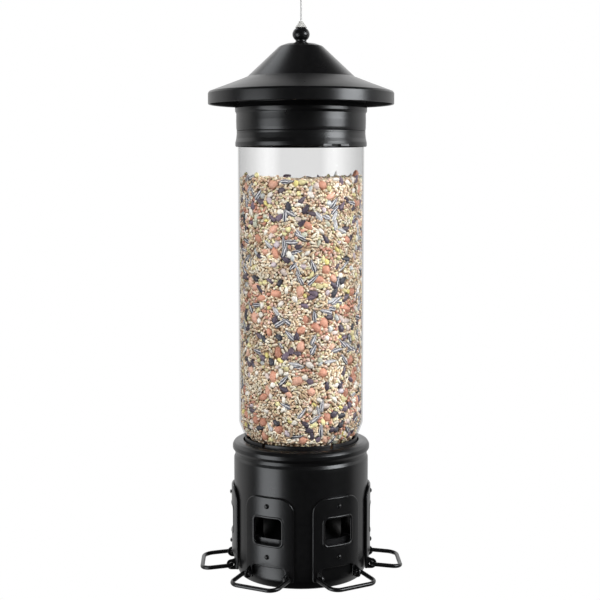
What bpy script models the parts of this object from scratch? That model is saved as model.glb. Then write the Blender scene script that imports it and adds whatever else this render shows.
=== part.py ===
"""Hanging tube bird feeder: roof, clear seed tube, hopper, weight-driven shroud and six perches.

Every height below is measured from the underside of the base pan, in metres. An empty then lowers the
whole model, so that the world origin is the point that the feeder hangs from.
"""

import math

import bmesh
import bpy
from mathutils import Matrix, Vector

MM = 0.001
GAP = 0.3 * MM  # between pieces that touch
ROUND = 30  # sides of the large round pieces
SMALL_ROUND = 12  # sides of the small round pieces

# Hanging cable, straight up the axis
CABLE_RADIUS = 0.75 * MM
CABLE_BORE = 1.5 * MM  # clearance hole for the cable
ANCHOR_TOP = 423.0 * MM
ANCHOR_HEIGHT = 8.0 * MM
FERRULE_BOTTOM = 594.0 * MM
FERRULE_HEIGHT = 12.0 * MM
LOOP_CENTRE = 627.5 * MM
LOOP_RADIUS = 12.5 * MM
HANG_HEIGHT = LOOP_CENTRE + LOOP_RADIUS - CABLE_RADIUS  # inside of the loop's top

# Seed tube
TUBE_RADIUS = 60.0 * MM
TUBE_WALL = 2.0 * MM
TUBE_TOP = 425.2 * MM
SHOULDER_TOP = 150.5 * MM
NECK_RADIUS = 51.8 * MM
NECK_TOP = 135.6 * MM
NECK_BOTTOM = 114.0 * MM
LUG_COUNT = 5
LUG_FIRST_ANGLE = 32.1  # degrees from +X
LUG_HALF_ANGLE = 1.3
LUG_HEIGHT = 119.5 * MM
LUG_THICK = 3.0 * MM
LUG_RADIUS = 54.2 * MM
TURN_ANGLE = 20.0  # degrees from locked to released

# Band round the top of the tube, and the bar across it
BAND_RADIUS = 62.3 * MM
BAND_BOTTOM = 413.5 * MM
BAND_TOP = 428.0 * MM
BAND_STEP_ANGLE = -59.2  # middle of the shallow step, in degrees from +X
BAND_STEP_HALF_ANGLE = 13.5
BAND_STEP_HEIGHT = 1.9 * MM
BAR_HEIGHT = 418.5 * MM
BAR_RADIUS = 2.0 * MM
BAR_REACH = 61.0 * MM

# Roof
ROOF_TOP = 510.0 * MM
ROOF_RADIUS = 88.0 * MM
ROOF_SHEET = 1.2 * MM
BRIM_HEIGHT = 465.2 * MM
LIP_HEIGHT = 453.0 * MM
CREASE_RADIUS = 51.0 * MM
CREASE_HEIGHT = 479.0 * MM
COLLAR_RADIUS = 61.4 * MM
COLLAR_WALL = 1.2 * MM
COLLAR_TOP = 473.0 * MM
SPIGOT_RADIUS = 57.0 * MM
SPIGOT_BOTTOM = 421.2 * MM
BALL_RADIUS = 8.4 * MM
BALL_HEIGHT = 518.3 * MM
BALL_SQUASH = 0.88  # its height over its width
STUD_RADIUS = 3.0 * MM

# Hopper under the tube
RING_RADIUS = 54.6 * MM
RING_BORE = 52.3 * MM
RING_TOP = 135.2 * MM
RING_BOTTOM = 112.0 * MM
HOPPER_RADIUS = 53.4 * MM
HOPPER_BORE = 52.0 * MM
HOPPER_BOTTOM = 36.0 * MM
CONE_RADIUS = 51.6 * MM
CONE_EDGE = 39.5 * MM
HUB_TOP = 82.0 * MM
HUB_BOTTOM = 66.0 * MM
HUB_RADIUS = 7.0 * MM
POST_RADIUS = 3.0 * MM
POST_BOTTOM = 2.0 * MM
TRAY_RADIUS = 62.4 * MM
TRAY_BOTTOM = 39.0 * MM
TRAY_HEIGHT = 9.0 * MM
TRAY_WALL = 1.2 * MM
TRAY_HALF_ANGLE = 17.5

# Return spring
SPRING_RADIUS = 9.0 * MM
SPRING_WIRE = 0.8 * MM
SPRING_BOTTOM = 8.3 * MM
SPRING_TOP = 51.5 * MM
SPRING_TURNS = 6

# Shroud
SHELL_RADIUS = 65.0 * MM
SHELL_SHEET = 1.2 * MM
RIM_TOP = 132.3 * MM
RIM_BORE = 55.5 * MM
PAN_RADIUS = 57.2 * MM
PAN_SHEET = 1.2 * MM
CUP_RADIUS = 17.2 * MM
CUP_TOP = 53.0 * MM

# Feeding ports, six round the shroud
PORT_COUNT = 6
PORT_HALF_WIDTH = 15.0 * MM
PORT_BOTTOM = 43.0 * MM
PORT_TOP = 69.0 * MM
PORT_CORNER = 4.0 * MM
PLATE_RADIUS = 67.6 * MM
PLATE_SHEET = 2.2 * MM
PLATE_HALF_WIDTH = 25.5 * MM
PLATE_TOP = 88.5 * MM
PLATE_CORNER = 14.0 * MM
PLATE_BOTTOM = 9.0 * MM
NOTCH_HALF_WIDTH = 17.3 * MM
NOTCH_TOP = 22.0 * MM
RIVET_HEIGHTS = {"upper": 80.0 * MM, "lower": 31.6 * MM}
RIVET_SHANK = 1.2 * MM
RIVET_HEAD = 2.3 * MM

# Ears of the port plates, and the perches that hinge in them
HINGE_RADIUS = 67.5 * MM
HINGE_HEIGHT = 13.5 * MM
EAR_INNER = 20.2 * MM
EAR_SHEET = 1.4 * MM
EAR_RADIUS = 5.0 * MM
PERCH_WIRE = 2.0 * MM
PERCH_HALF_WIDTH = 24.3 * MM
PERCH_REACH = 96.0 * MM
PERCH_CORNER = 9.0 * MM
PERCH_END = 18.0 * MM
PERCH_END_CORNER = 2.6 * MM
PERCH_SLOPE = 6.0  # degrees below level

BLACK_COAT = (0.012, 0.012, 0.013, 1.0)
BLACK_PLASTIC = (0.02, 0.02, 0.022, 1.0)
CLEAR_PLASTIC = (0.86, 0.88, 0.88, 1.0)
PALE_PLASTIC = (0.78, 0.78, 0.76, 1.0)
BARE_STEEL = (0.55, 0.55, 0.56, 1.0)
CABLE_STEEL = (0.66, 0.66, 0.66, 1.0)


def clear_scene():
    """Remove every object from the scene."""
    for thing in list(bpy.data.objects):
        bpy.data.objects.remove(thing, do_unlink=True)


def material(name, colour, roughness, metallic=0.0):
    """A Principled material of one colour."""
    made = bpy.data.materials.new(name)
    made.use_nodes = True
    shader = made.node_tree.nodes["Principled BSDF"]
    shader.inputs["Base Color"].default_value = colour
    shader.inputs["Roughness"].default_value = roughness
    shader.inputs["Metallic"].default_value = metallic
    made.diffuse_color = colour
    return made


def finish_mesh(bm, name):
    """Close up a bmesh, turn its faces outwards and return it as a smooth-shaded mesh."""
    bmesh.ops.remove_doubles(bm, verts=bm.verts, dist=1e-6)
    bmesh.ops.recalc_face_normals(bm, faces=bm.faces)
    mesh = bpy.data.meshes.new(name)
    bm.to_mesh(mesh)
    bm.free()
    mesh.shade_smooth()
    mesh.set_sharp_from_angle(angle=math.radians(35))
    return mesh


def wire_loop(bm, points, closed):
    """Add a chain of points to a bmesh, and return its vertices and edges."""
    verts = [bm.verts.new(p) for p in points]
    edges = [bm.edges.new(pair) for pair in zip(verts, verts[1:])]
    if closed:
        edges.append(bm.edges.new((verts[-1], verts[0])))
    return verts, edges


def turned(name, profile, sides=ROUND, closed=True):
    """Spin a profile of (radius, height) points round Z. An open profile starts and ends on the axis."""
    bm = bmesh.new()
    verts, edges = wire_loop(bm, [(r, 0.0, z) for r, z in profile], closed)
    bmesh.ops.spin(
        bm,
        geom=verts + edges,
        cent=(0.0, 0.0, 0.0),
        axis=(0.0, 0.0, 1.0),
        angle=math.tau,
        steps=sides,
        use_merge=True,
    )
    return finish_mesh(bm, name)


def rod(name, radius, bottom, top, sides=SMALL_ROUND):
    """A plain round rod up the Z axis."""
    return turned(name, [(0.0, top), (radius, top), (radius, bottom), (0.0, bottom)], sides, False)


def sector(name, inner, outer, bottom, top, half_angle, steps=4):
    """A block of a thick tube, centred on +X and half_angle degrees to each side."""
    bm = bmesh.new()
    corners = [(inner, bottom), (outer, bottom), (outer, top), (inner, top)]
    start = math.radians(-half_angle)
    points = [(r * math.cos(start), r * math.sin(start), z) for r, z in corners]
    verts, _ = wire_loop(bm, points, True)
    first = bm.faces.new(verts)
    bmesh.ops.spin(
        bm,
        geom=[first],
        cent=(0.0, 0.0, 0.0),
        axis=(0.0, 0.0, 1.0),
        angle=math.radians(2 * half_angle),
        steps=steps,
    )
    return finish_mesh(bm, name)


def prism(name, outline, low, high):
    """A flat outline of (y, z) points, extruded along X from low to high."""
    bm = bmesh.new()
    verts, _ = wire_loop(bm, [(low, y, z) for y, z in outline], True)
    face = bm.faces.new(verts)
    grown = bmesh.ops.extrude_face_region(bm, geom=[face])
    moved = [v for v in grown["geom"] if isinstance(v, bmesh.types.BMVert)]
    bmesh.ops.translate(bm, verts=moved, vec=(high - low, 0.0, 0.0))
    return finish_mesh(bm, name)


def arc(centre, radius, start, end, steps):
    """Points along an arc, with its angles in degrees."""
    turns = [math.radians(start + (end - start) * i / steps) for i in range(steps + 1)]
    return [(centre[0] + radius * math.cos(a), centre[1] + radius * math.sin(a)) for a in turns]


def rounded_box(half_width, bottom, top, corner, steps=2):
    """The outline of an upright rectangle with round corners, centred on zero."""
    reach = half_width - corner
    corners = [
        ((reach, top - corner), 0),
        ((-reach, top - corner), 90),
        ((-reach, bottom + corner), 180),
        ((reach, bottom + corner), 270),
    ]
    outline = []
    for centre, start in corners:
        outline += arc(centre, corner, start, start + 90, steps)
    return outline


def combine(name, base, others, operation):
    """Boolean a mesh with others, one after another, and return the result as a new mesh."""
    result = base
    for other in others:
        body = bpy.data.objects.new("boolean_body", result)
        tool = bpy.data.objects.new("boolean_tool", other)
        for thing in (body, tool):
            bpy.context.scene.collection.objects.link(thing)
        cut = body.modifiers.new("cut", "BOOLEAN")
        cut.operation = operation
        cut.solver = "EXACT"
        cut.object = tool
        graph = bpy.context.evaluated_depsgraph_get()
        result = bpy.data.meshes.new_from_object(body.evaluated_get(graph))
        bpy.data.objects.remove(body)
        bpy.data.objects.remove(tool)
    result.name = name
    bm = bmesh.new()
    bm.from_mesh(result)
    bmesh.ops.dissolve_degenerate(bm, dist=1e-6, edges=bm.edges)
    bm.to_mesh(result)
    bm.free()
    result.shade_smooth()
    result.set_sharp_from_angle(angle=math.radians(35))
    return result


def turned_copies(mesh, count, first=0.0):
    """Copies of a mesh, spaced evenly round Z."""
    copies = []
    for i in range(count):
        copy = mesh.copy()
        copy.transform(Matrix.Rotation(math.radians(first + 360 * i / count), 4, "Z"))
        copies.append(copy)
    return copies


def along_x(mesh, radius, height):
    """Lay a mesh that was turned round Z along X instead, at a radius and a height."""
    laid = mesh.copy()
    laid.transform(Matrix.Rotation(math.radians(90), 4, "Y"))
    laid.transform(Matrix.Translation((radius, 0.0, height)))
    return laid


def place(name, mesh, finish, parent, location=(0.0, 0.0, 0.0), turn=0.0):
    """Link one named object with its own material."""
    made = bpy.data.objects.new(name, mesh)
    bpy.context.scene.collection.objects.link(made)
    made.data.materials.clear()
    made.data.materials.append(finish)
    made.parent = parent
    made.location = location
    made.rotation_euler = (0.0, 0.0, math.radians(turn))
    return made


def wire(name, points, radius, finish, parent, location=(0.0, 0.0, 0.0), turn=0.0, resolution=2):
    """A round wire along a chain of points, as a curve with closed ends."""
    curve = bpy.data.curves.new(name, "CURVE")
    curve.dimensions = "3D"
    curve.bevel_depth = radius
    curve.bevel_resolution = resolution
    curve.use_fill_caps = True
    spline = curve.splines.new("POLY")
    spline.points.add(len(points) - 1)
    for slot, point in zip(spline.points, points):
        slot.co = (*point, 1.0)
    return place(name, curve, finish, parent, location, turn)


def hexagon_nut(name, bottom, top, across, bore):
    """A hexagonal nut with a plain round bore."""
    blank = rod(name + "_blank", across, bottom, top, 6)
    margin = 1.0 * MM
    hole = rod(name + "_hole", bore, bottom - margin, top + margin)
    return combine(name, blank, [hole], "DIFFERENCE")


# ---------------------------------------------------------------- clear tube, its band, and the cable


def make_seed_tube():
    """Clear tube with a round shoulder, a narrow neck and the bayonet lugs on the neck."""
    shoulder = [
        (TUBE_RADIUS, SHOULDER_TOP),
        (59.4 * MM, 146.8 * MM),
        (57.9 * MM, 143.4 * MM),
        (56.3 * MM, 140.0 * MM),
        (55.0 * MM, 137.2 * MM),
        (53.6 * MM, NECK_TOP + 0.2 * MM),
        (NECK_RADIUS, NECK_TOP),
    ]
    inner_shoulder = [(r - 0.9 * TUBE_WALL, z + 0.5 * TUBE_WALL) for r, z in shoulder[1:-1]]
    neck_inner = NECK_RADIUS - TUBE_WALL
    profile = [(TUBE_RADIUS, TUBE_TOP)] + shoulder
    profile += [(NECK_RADIUS, NECK_BOTTOM), (neck_inner, NECK_BOTTOM)]
    profile += [(neck_inner, NECK_TOP + 0.8 * TUBE_WALL)] + inner_shoulder[::-1]
    profile += [(TUBE_RADIUS - TUBE_WALL, SHOULDER_TOP), (TUBE_RADIUS - TUBE_WALL, TUBE_TOP)]
    tube = turned("seed_tube", profile)
    lug = sector(
        "lug",
        NECK_RADIUS - 1.0 * MM,
        LUG_RADIUS,
        LUG_HEIGHT - LUG_THICK / 2,
        LUG_HEIGHT + LUG_THICK / 2,
        LUG_HALF_ANGLE,
        1,
    )
    tube = combine("seed_tube", tube, turned_copies(lug, LUG_COUNT, LUG_FIRST_ANGLE), "UNION")
    reach = TUBE_RADIUS + 5 * MM
    hole = rod("bar_hole", BAR_RADIUS + GAP, -reach, reach)
    return combine("seed_tube", tube, [along_x(hole, 0.0, BAR_HEIGHT)], "DIFFERENCE")


def make_top_band():
    """Band over the tube's top edge, with a pocket for each end of the bar and a step at the bottom."""
    bore = TUBE_RADIUS + GAP
    lap = TUBE_TOP + GAP
    profile = [
        (BAND_RADIUS - 1.2 * MM, BAND_TOP),
        (BAND_RADIUS - 0.4 * MM, BAND_TOP - 2.5 * MM),
        (BAND_RADIUS, BAND_BOTTOM + 3.0 * MM),
        (BAND_RADIUS - 0.3 * MM, BAND_BOTTOM),
        (bore, BAND_BOTTOM),
        (bore, lap),
        (SPIGOT_RADIUS + 0.6 * MM, lap),
        (SPIGOT_RADIUS + 0.6 * MM, BAND_TOP),
    ]
    band = turned("top_band", profile)
    reach = BAR_REACH + GAP
    pocket = along_x(rod("pocket", BAR_RADIUS + GAP, -reach, reach), 0.0, BAR_HEIGHT)
    step = sector(
        "step",
        TUBE_RADIUS,
        BAND_RADIUS + 2 * MM,
        BAND_BOTTOM - 1 * MM,
        BAND_BOTTOM + BAND_STEP_HEIGHT,
        BAND_STEP_HALF_ANGLE,
    )
    step.transform(Matrix.Rotation(math.radians(BAND_STEP_ANGLE), 4, "Z"))
    return combine("top_band", band, [pocket, step], "DIFFERENCE")


def make_cross_bar():
    """Steel bar across the top of the tube, which the cable's anchor hooks over."""
    return along_x(rod("cross_bar", BAR_RADIUS, -BAR_REACH, BAR_REACH), 0.0, BAR_HEIGHT)


def make_cable_anchor():
    """Crimped sleeve on the cable's lower end, with the bar through it."""
    radius = 4.6 * MM
    bottom = ANCHOR_TOP - ANCHOR_HEIGHT
    profile = [
        (0.0, ANCHOR_TOP),
        (radius - 1.0 * MM, ANCHOR_TOP),
        (radius, ANCHOR_TOP - 1.5 * MM),
        (radius, bottom),
        (0.0, bottom),
    ]
    body = turned("cable_anchor", profile, SMALL_ROUND, False)
    hole = rod("anchor_hole", BAR_RADIUS + GAP, -2 * radius, 2 * radius)
    return combine("cable_anchor", body, [along_x(hole, 0.0, BAR_HEIGHT)], "DIFFERENCE")


def cable_points():
    """Points up the straight cable, from its anchor to its ferrule."""
    low = ANCHOR_TOP + GAP
    high = FERRULE_BOTTOM - GAP
    steps = 42
    return [(0.0, 0.0, low + (high - low) * i / steps) for i in range(steps + 1)]


def make_ferrule():
    """Crimped sleeve that closes the hanging loop."""
    radius = 2.6 * MM
    top = FERRULE_BOTTOM + FERRULE_HEIGHT
    waist = 0.5 * MM
    profile = [
        (0.0, top),
        (radius, top),
        (radius, top - 3 * MM),
        (radius - waist, top - FERRULE_HEIGHT / 2),
        (radius, FERRULE_BOTTOM + 3 * MM),
        (radius, FERRULE_BOTTOM),
        (0.0, FERRULE_BOTTOM),
    ]
    return turned("cable_ferrule", profile, SMALL_ROUND, False)


def loop_points():
    """The hanging loop, a teardrop that starts and ends in the ferrule."""
    foot = 1.1 * MM
    foot_height = FERRULE_BOTTOM + FERRULE_HEIGHT + GAP
    lowest = -33.0  # where the straight sides meet the round top, in degrees
    crown = arc((0.0, LOOP_CENTRE), LOOP_RADIUS, lowest, 180 - lowest, 20)
    side = crown[0]
    steps = 4
    rise = [
        (foot + (side[0] - foot) * i / steps, foot_height + (side[1] - foot_height) * i / steps)
        for i in range(steps)
    ]
    outline = rise + crown + [(-x, z) for x, z in rise[::-1]]
    return [(x, 0.0, z) for x, z in outline]


def build_reservoir(root, coat, clear, steel, cable):
    """The tube and everything that hangs straight from the cable."""
    place("seed_tube", make_seed_tube(), clear, root)
    place("top_band", make_top_band(), coat, root)
    place("cross_bar", make_cross_bar(), steel, root)
    place("cable_anchor", make_cable_anchor(), steel, root)
    wire("hanger_cable", cable_points(), CABLE_RADIUS, cable, root)
    place("cable_ferrule", make_ferrule(), steel, root)
    wire("hanging_loop", loop_points(), CABLE_RADIUS, cable, root)


# ---------------------------------------------------------------- roof, which slides up the cable


def make_roof_shell():
    """Spun sheet: a steep cone, a shallow brim and a turned-down lip."""
    hole = STUD_RADIUS + GAP
    brim = ROOF_RADIUS - 1.0 * MM
    outer = [
        (hole, ROOF_TOP),
        (12.0 * MM, ROOF_TOP - 0.3 * MM),
        (17.5 * MM, ROOF_TOP - 1.3 * MM),
        (22.0 * MM, ROOF_TOP - 4.0 * MM),
        (CREASE_RADIUS - 2.0 * MM, CREASE_HEIGHT + 1.7 * MM),
        (CREASE_RADIUS + 2.0 * MM, CREASE_HEIGHT - 1.0 * MM),
        (70.0 * MM, 471.2 * MM),
        (brim, BRIM_HEIGHT),
        (ROOF_RADIUS, BRIM_HEIGHT - 1.2 * MM),
        (ROOF_RADIUS, LIP_HEIGHT),
    ]
    slope = ROOF_SHEET * 1.2
    inner = [
        (ROOF_RADIUS - ROOF_SHEET, LIP_HEIGHT),
        (ROOF_RADIUS - ROOF_SHEET, BRIM_HEIGHT - 1.8 * MM),
        (70.0 * MM, 471.2 * MM - slope),
        (CREASE_RADIUS + 1.6 * MM, CREASE_HEIGHT - 1.0 * MM - slope),
        (CREASE_RADIUS - 2.8 * MM, CREASE_HEIGHT + 1.1 * MM - slope),
        (21.2 * MM, ROOF_TOP - 3.9 * MM - slope),
        (17.0 * MM, ROOF_TOP - 1.2 * MM - ROOF_SHEET),
        (hole, ROOF_TOP - ROOF_SHEET),
    ]
    return turned("roof_shell", outer + inner)


def make_cap_collar():
    """Collar under the roof, with a bead near its top and a spigot that drops into the tube."""
    seat = BAND_TOP + GAP
    bead = 1.1 * MM
    inside = COLLAR_RADIUS - COLLAR_WALL
    spigot_inside = SPIGOT_RADIUS - COLLAR_WALL
    profile = [
        (COLLAR_RADIUS - 0.4 * MM, seat),
        (COLLAR_RADIUS, seat + 4.0 * MM),
        (COLLAR_RADIUS, 444.5 * MM),
        (COLLAR_RADIUS + bead, 446.5 * MM),
        (COLLAR_RADIUS + bead, 450.0 * MM),
        (COLLAR_RADIUS, 452.0 * MM),
        (COLLAR_RADIUS, COLLAR_TOP),
        (inside, COLLAR_TOP + 0.4 * MM),
        (inside, seat + COLLAR_WALL),
        (spigot_inside, seat + COLLAR_WALL),
        (spigot_inside, SPIGOT_BOTTOM),
        (SPIGOT_RADIUS, SPIGOT_BOTTOM),
        (SPIGOT_RADIUS, seat),
    ]
    return turned("cap_collar", profile)


def make_finial():
    """Ball on a short neck, with a stud through the roof and a bore for the cable."""
    base = ROOF_TOP + GAP
    stud_bottom = ROOF_TOP - 8.0 * MM
    half_height = BALL_RADIUS * BALL_SQUASH
    ball = [(r, BALL_HEIGHT + BALL_SQUASH * z) for r, z in arc((0.0, 0.0), BALL_RADIUS, 75, -50, 8)]
    profile = [(CABLE_BORE, BALL_HEIGHT + half_height - 0.3 * MM)] + ball
    profile += [
        (4.6 * MM, base + 1.5 * MM),
        (6.2 * MM, base + 0.7 * MM),
        (6.2 * MM, base),
        (STUD_RADIUS, base),
        (STUD_RADIUS, stud_bottom),
        (CABLE_BORE, stud_bottom),
    ]
    return turned("finial", profile, 16)


def make_finial_bushing():
    """Small pale cone that keeps the cable off the ball's edge."""
    top = BALL_HEIGHT + BALL_RADIUS * BALL_SQUASH
    bore = CABLE_RADIUS + 0.4 * MM
    profile = [
        (bore, top + 5.0 * MM),
        (2.2 * MM, top + 4.8 * MM),
        (5.6 * MM, top - 0.7 * MM),
        (5.2 * MM, top - 1.0 * MM),
        (2.6 * MM, top + 0.5 * MM),
        (bore, top + 0.5 * MM),
    ]
    return turned("finial_bushing", profile, SMALL_ROUND)


def build_roof(root, coat, pale, steel):
    """The cap, which lifts off the tube along the cable."""
    place("roof_shell", make_roof_shell(), coat, root)
    place("cap_collar", make_cap_collar(), coat, root)
    place("finial", make_finial(), coat, root)
    place("finial_bushing", make_finial_bushing(), pale, root)
    nut_top = ROOF_TOP - ROOF_SHEET - GAP
    nut = hexagon_nut("finial_nut", nut_top - 4.0 * MM, nut_top, 6.0 * MM, STUD_RADIUS + GAP)
    place("finial_nut", nut, steel, root)


# ---------------------------------------------------------------- hopper, twist-locked on the tube's neck


def make_neck_ring():
    """Ring round the neck, with an L-shaped slot for each bayonet lug."""
    profile = [
        (RING_RADIUS, RING_TOP),
        (RING_RADIUS, RING_BOTTOM),
        (RING_BORE, RING_BOTTOM),
        (RING_BORE, RING_TOP),
    ]
    ring = turned("neck_ring", profile)
    spare = 0.6  # degrees at each side of a lug
    low = LUG_HEIGHT - LUG_THICK / 2 - 0.6 * MM
    high = LUG_HEIGHT + LUG_THICK / 2 + 0.6 * MM
    inner = RING_BORE - 2 * MM
    outer = RING_RADIUS + 2 * MM
    half = LUG_HALF_ANGLE + spare
    run = sector("slot_run", inner, outer, low, high, half + TURN_ANGLE / 2, 3)
    run.transform(Matrix.Rotation(math.radians(-TURN_ANGLE / 2), 4, "Z"))
    entry = sector("slot_entry", inner, outer, high - 1 * MM, RING_TOP + 2 * MM, half, 1)
    entry.transform(Matrix.Rotation(math.radians(-TURN_ANGLE), 4, "Z"))
    runs = turned_copies(run, LUG_COUNT, LUG_FIRST_ANGLE)
    entries = turned_copies(entry, LUG_COUNT, LUG_FIRST_ANGLE)
    return combine("neck_ring", ring, runs + entries, "DIFFERENCE")


def port_cutters(inner, outer, margin):
    """Blocks that cut the six ports, margin wider than the port all round."""
    outline = rounded_box(
        PORT_HALF_WIDTH + margin,
        PORT_BOTTOM - margin,
        PORT_TOP + margin,
        PORT_CORNER,
    )
    return turned_copies(prism("port_cutter", outline, inner, outer), PORT_COUNT)


def make_hopper_wall():
    """Open cylinder with six ports, between the neck ring and the cone."""
    top = RING_BOTTOM - GAP
    profile = [
        (HOPPER_RADIUS, top),
        (HOPPER_RADIUS, HOPPER_BOTTOM),
        (HOPPER_BORE, HOPPER_BOTTOM),
        (HOPPER_BORE, top),
    ]
    wall = turned("hopper_wall", profile)
    return combine("hopper_wall", wall, port_cutters(40 * MM, 60 * MM, -1.5 * MM), "DIFFERENCE")


def make_seed_cone():
    """Hollow cone that turns the seed outwards to the ports, with a hub for the post."""
    bore = POST_RADIUS + 0.4 * MM
    wall = 2.0 * MM
    shoulder = HUB_TOP - 2.5 * MM
    profile = [
        (bore, HUB_TOP),
        (HUB_RADIUS, HUB_TOP),
        (HUB_RADIUS + 1.0 * MM, shoulder),
        (CONE_RADIUS, CONE_EDGE),
        (CONE_RADIUS, HOPPER_BOTTOM),
        (CONE_RADIUS - wall, HOPPER_BOTTOM),
        (CONE_RADIUS - wall, CONE_EDGE - 1.0 * MM),
        (HUB_RADIUS, shoulder - 2.2 * MM),
        (HUB_RADIUS, HUB_BOTTOM),
        (bore, HUB_BOTTOM),
    ]
    return turned("seed_cone", profile)


def make_seed_tray():
    """Open tray outside one port, with its rim just short of the shroud."""
    inner = HOPPER_RADIUS + 0.5 * MM
    top = TRAY_BOTTOM + TRAY_HEIGHT
    block = sector("seed_tray", inner, TRAY_RADIUS, TRAY_BOTTOM, top, TRAY_HALF_ANGLE, 4)
    pocket = sector(
        "tray_pocket",
        inner - 3 * MM,
        TRAY_RADIUS - TRAY_WALL,
        TRAY_BOTTOM + TRAY_WALL,
        top + 3 * MM,
        TRAY_HALF_ANGLE - 1.2,
        4,
    )
    return combine("seed_tray", block, [pocket], "DIFFERENCE")


def make_centre_post():
    """Long bolt down the axis, with its round head on the cone's hub."""
    head_bottom = HUB_TOP + GAP
    head_top = head_bottom + 3.5 * MM
    head = 5.5 * MM
    profile = [
        (0.0, head_top),
        (head - 1.2 * MM, head_top),
        (head, head_top - 1.5 * MM),
        (head, head_bottom),
        (POST_RADIUS, head_bottom),
        (POST_RADIUS, POST_BOTTOM),
        (0.0, POST_BOTTOM),
    ]
    return turned("centre_post", profile, SMALL_ROUND, False)


def make_washer(name, bottom, top, radius):
    """A flat ring on the post."""
    bore = POST_RADIUS + 0.35 * MM
    return turned(name, [(radius, top), (radius, bottom), (bore, bottom), (bore, top)], 16)


def spring_points():
    """A helix round the post, with its last turns closer together."""
    steps = SPRING_TURNS * 11
    low = SPRING_BOTTOM + SPRING_WIRE
    high = SPRING_TOP - SPRING_WIRE
    closing = 0.9  # how far the end turns close up
    points = []
    for i in range(steps + 1):
        share = i / steps
        angle = math.tau * SPRING_TURNS * share
        rise = share - closing * math.sin(math.tau * share) / math.tau
        height = low + (high - low) * rise
        points.append((SPRING_RADIUS * math.cos(angle), SPRING_RADIUS * math.sin(angle), height))
    return points


def build_hopper(root, coat, plastic, steel):
    """Everything under the tube that twists off with the hopper."""
    place("neck_ring", make_neck_ring(), plastic, root)
    place("hopper_wall", make_hopper_wall(), plastic, root)
    place("seed_cone", make_seed_cone(), plastic, root)
    tray = make_seed_tray()
    for i in range(PORT_COUNT):
        place(f"seed_tray_{i + 1}", tray.copy(), plastic, root, turn=360 * i / PORT_COUNT)
    place("centre_post", make_centre_post(), steel, root)
    hub_nut = hexagon_nut("hub_nut", 61.0 * MM, HUB_BOTTOM - GAP, 6.4 * MM, POST_RADIUS + 0.35 * MM)
    place("hub_nut", hub_nut, steel, root)
    collar = make_washer("stop_collar", CUP_TOP + GAP, CUP_TOP + 4 * MM, 8.0 * MM)
    place("stop_collar", collar, coat, root)
    seat = make_washer("spring_seat", SPRING_BOTTOM - GAP - 1.4 * MM, SPRING_BOTTOM - GAP, 12.5 * MM)
    place("spring_seat", seat, steel, root)
    post_nut = hexagon_nut("post_nut", 2.6 * MM, 6.2 * MM, 6.4 * MM, POST_RADIUS + 0.35 * MM)
    place("post_nut", post_nut, steel, root)
    wire("return_spring", spring_points(), SPRING_WIRE, steel, root, resolution=1)


# ---------------------------------------------------------------- shroud, which a heavy animal pulls down


def make_base_shell():
    """Round shell of the base: rolled rim, groove, straight wall with six ports, and a drawn-in foot."""
    sheet = SHELL_SHEET
    bead = 1.0 * MM
    groove = 1.4 * MM
    foot = [
        (58.8 * MM, 0.8 * MM),
        (60.3 * MM, 2.4 * MM),
        (62.8 * MM, 6.8 * MM),
        (64.4 * MM, 13.0 * MM),
        (SHELL_RADIUS, 20.0 * MM),
    ]
    rim_outer = [
        (RIM_BORE, RIM_TOP - 0.5 * MM),
        (RIM_BORE + 1.0 * MM, RIM_TOP),
        (61.5 * MM, RIM_TOP - 0.5 * MM),
        (64.6 * MM, RIM_TOP - 2.2 * MM),
        (SHELL_RADIUS + bead, 127.2 * MM),
        (SHELL_RADIUS + bead, 124.2 * MM),
        (SHELL_RADIUS - groove, 119.8 * MM),
        (SHELL_RADIUS - groove, 117.4 * MM),
        (SHELL_RADIUS, 113.6 * MM),
    ]
    inner_foot = [(r - sheet, z + 0.2 * MM) for r, z in foot]
    rim_inner = [(r - sheet, z) for r, z in rim_outer[4:]][::-1]
    rim_inner += [
        (63.6 * MM, RIM_TOP - 3.2 * MM),
        (61.0 * MM, RIM_TOP - 1.8 * MM),
        (RIM_BORE, RIM_TOP - 1.7 * MM),
    ]
    shell = turned("base_shell", rim_outer + foot[::-1] + inner_foot + rim_inner)
    cutters = port_cutters(57 * MM, 72 * MM, 1.0 * MM) + rivet_holes()
    return combine("base_shell", shell, cutters, "DIFFERENCE")


def rivet_holes(ports=PORT_COUNT):
    """Cutters for the rivet holes of the first port, or of as many ports as asked."""
    radius = RIVET_SHANK + 0.35 * MM
    reach = 5.0 * MM
    drill = rod("rivet_hole", radius, -reach, reach, 8)
    holes = []
    for height in RIVET_HEIGHTS.values():
        hole = along_x(drill, SHELL_RADIUS, height)
        holes += turned_copies(hole, PORT_COUNT)[:ports]
    return holes


def make_base_pan():
    """Flat pan under the shell, with a deep cup in its middle that the spring pushes up against."""
    sheet = PAN_SHEET
    wall_top = 9.0 * MM
    hole = POST_RADIUS + 1.2 * MM
    profile = [
        (hole, CUP_TOP),
        (CUP_RADIUS - sheet, CUP_TOP),
        (CUP_RADIUS, CUP_TOP - sheet),
        (CUP_RADIUS, sheet),
        (PAN_RADIUS - sheet, sheet),
        (PAN_RADIUS - sheet, wall_top),
        (PAN_RADIUS, wall_top),
        (PAN_RADIUS, 0.8 * MM),
        (PAN_RADIUS - 0.8 * MM, 0.0),
        (CUP_RADIUS - sheet, 0.0),
        (CUP_RADIUS - sheet, CUP_TOP - sheet),
        (hole, CUP_TOP - sheet),
    ]
    return turned("base_pan", profile)


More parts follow.
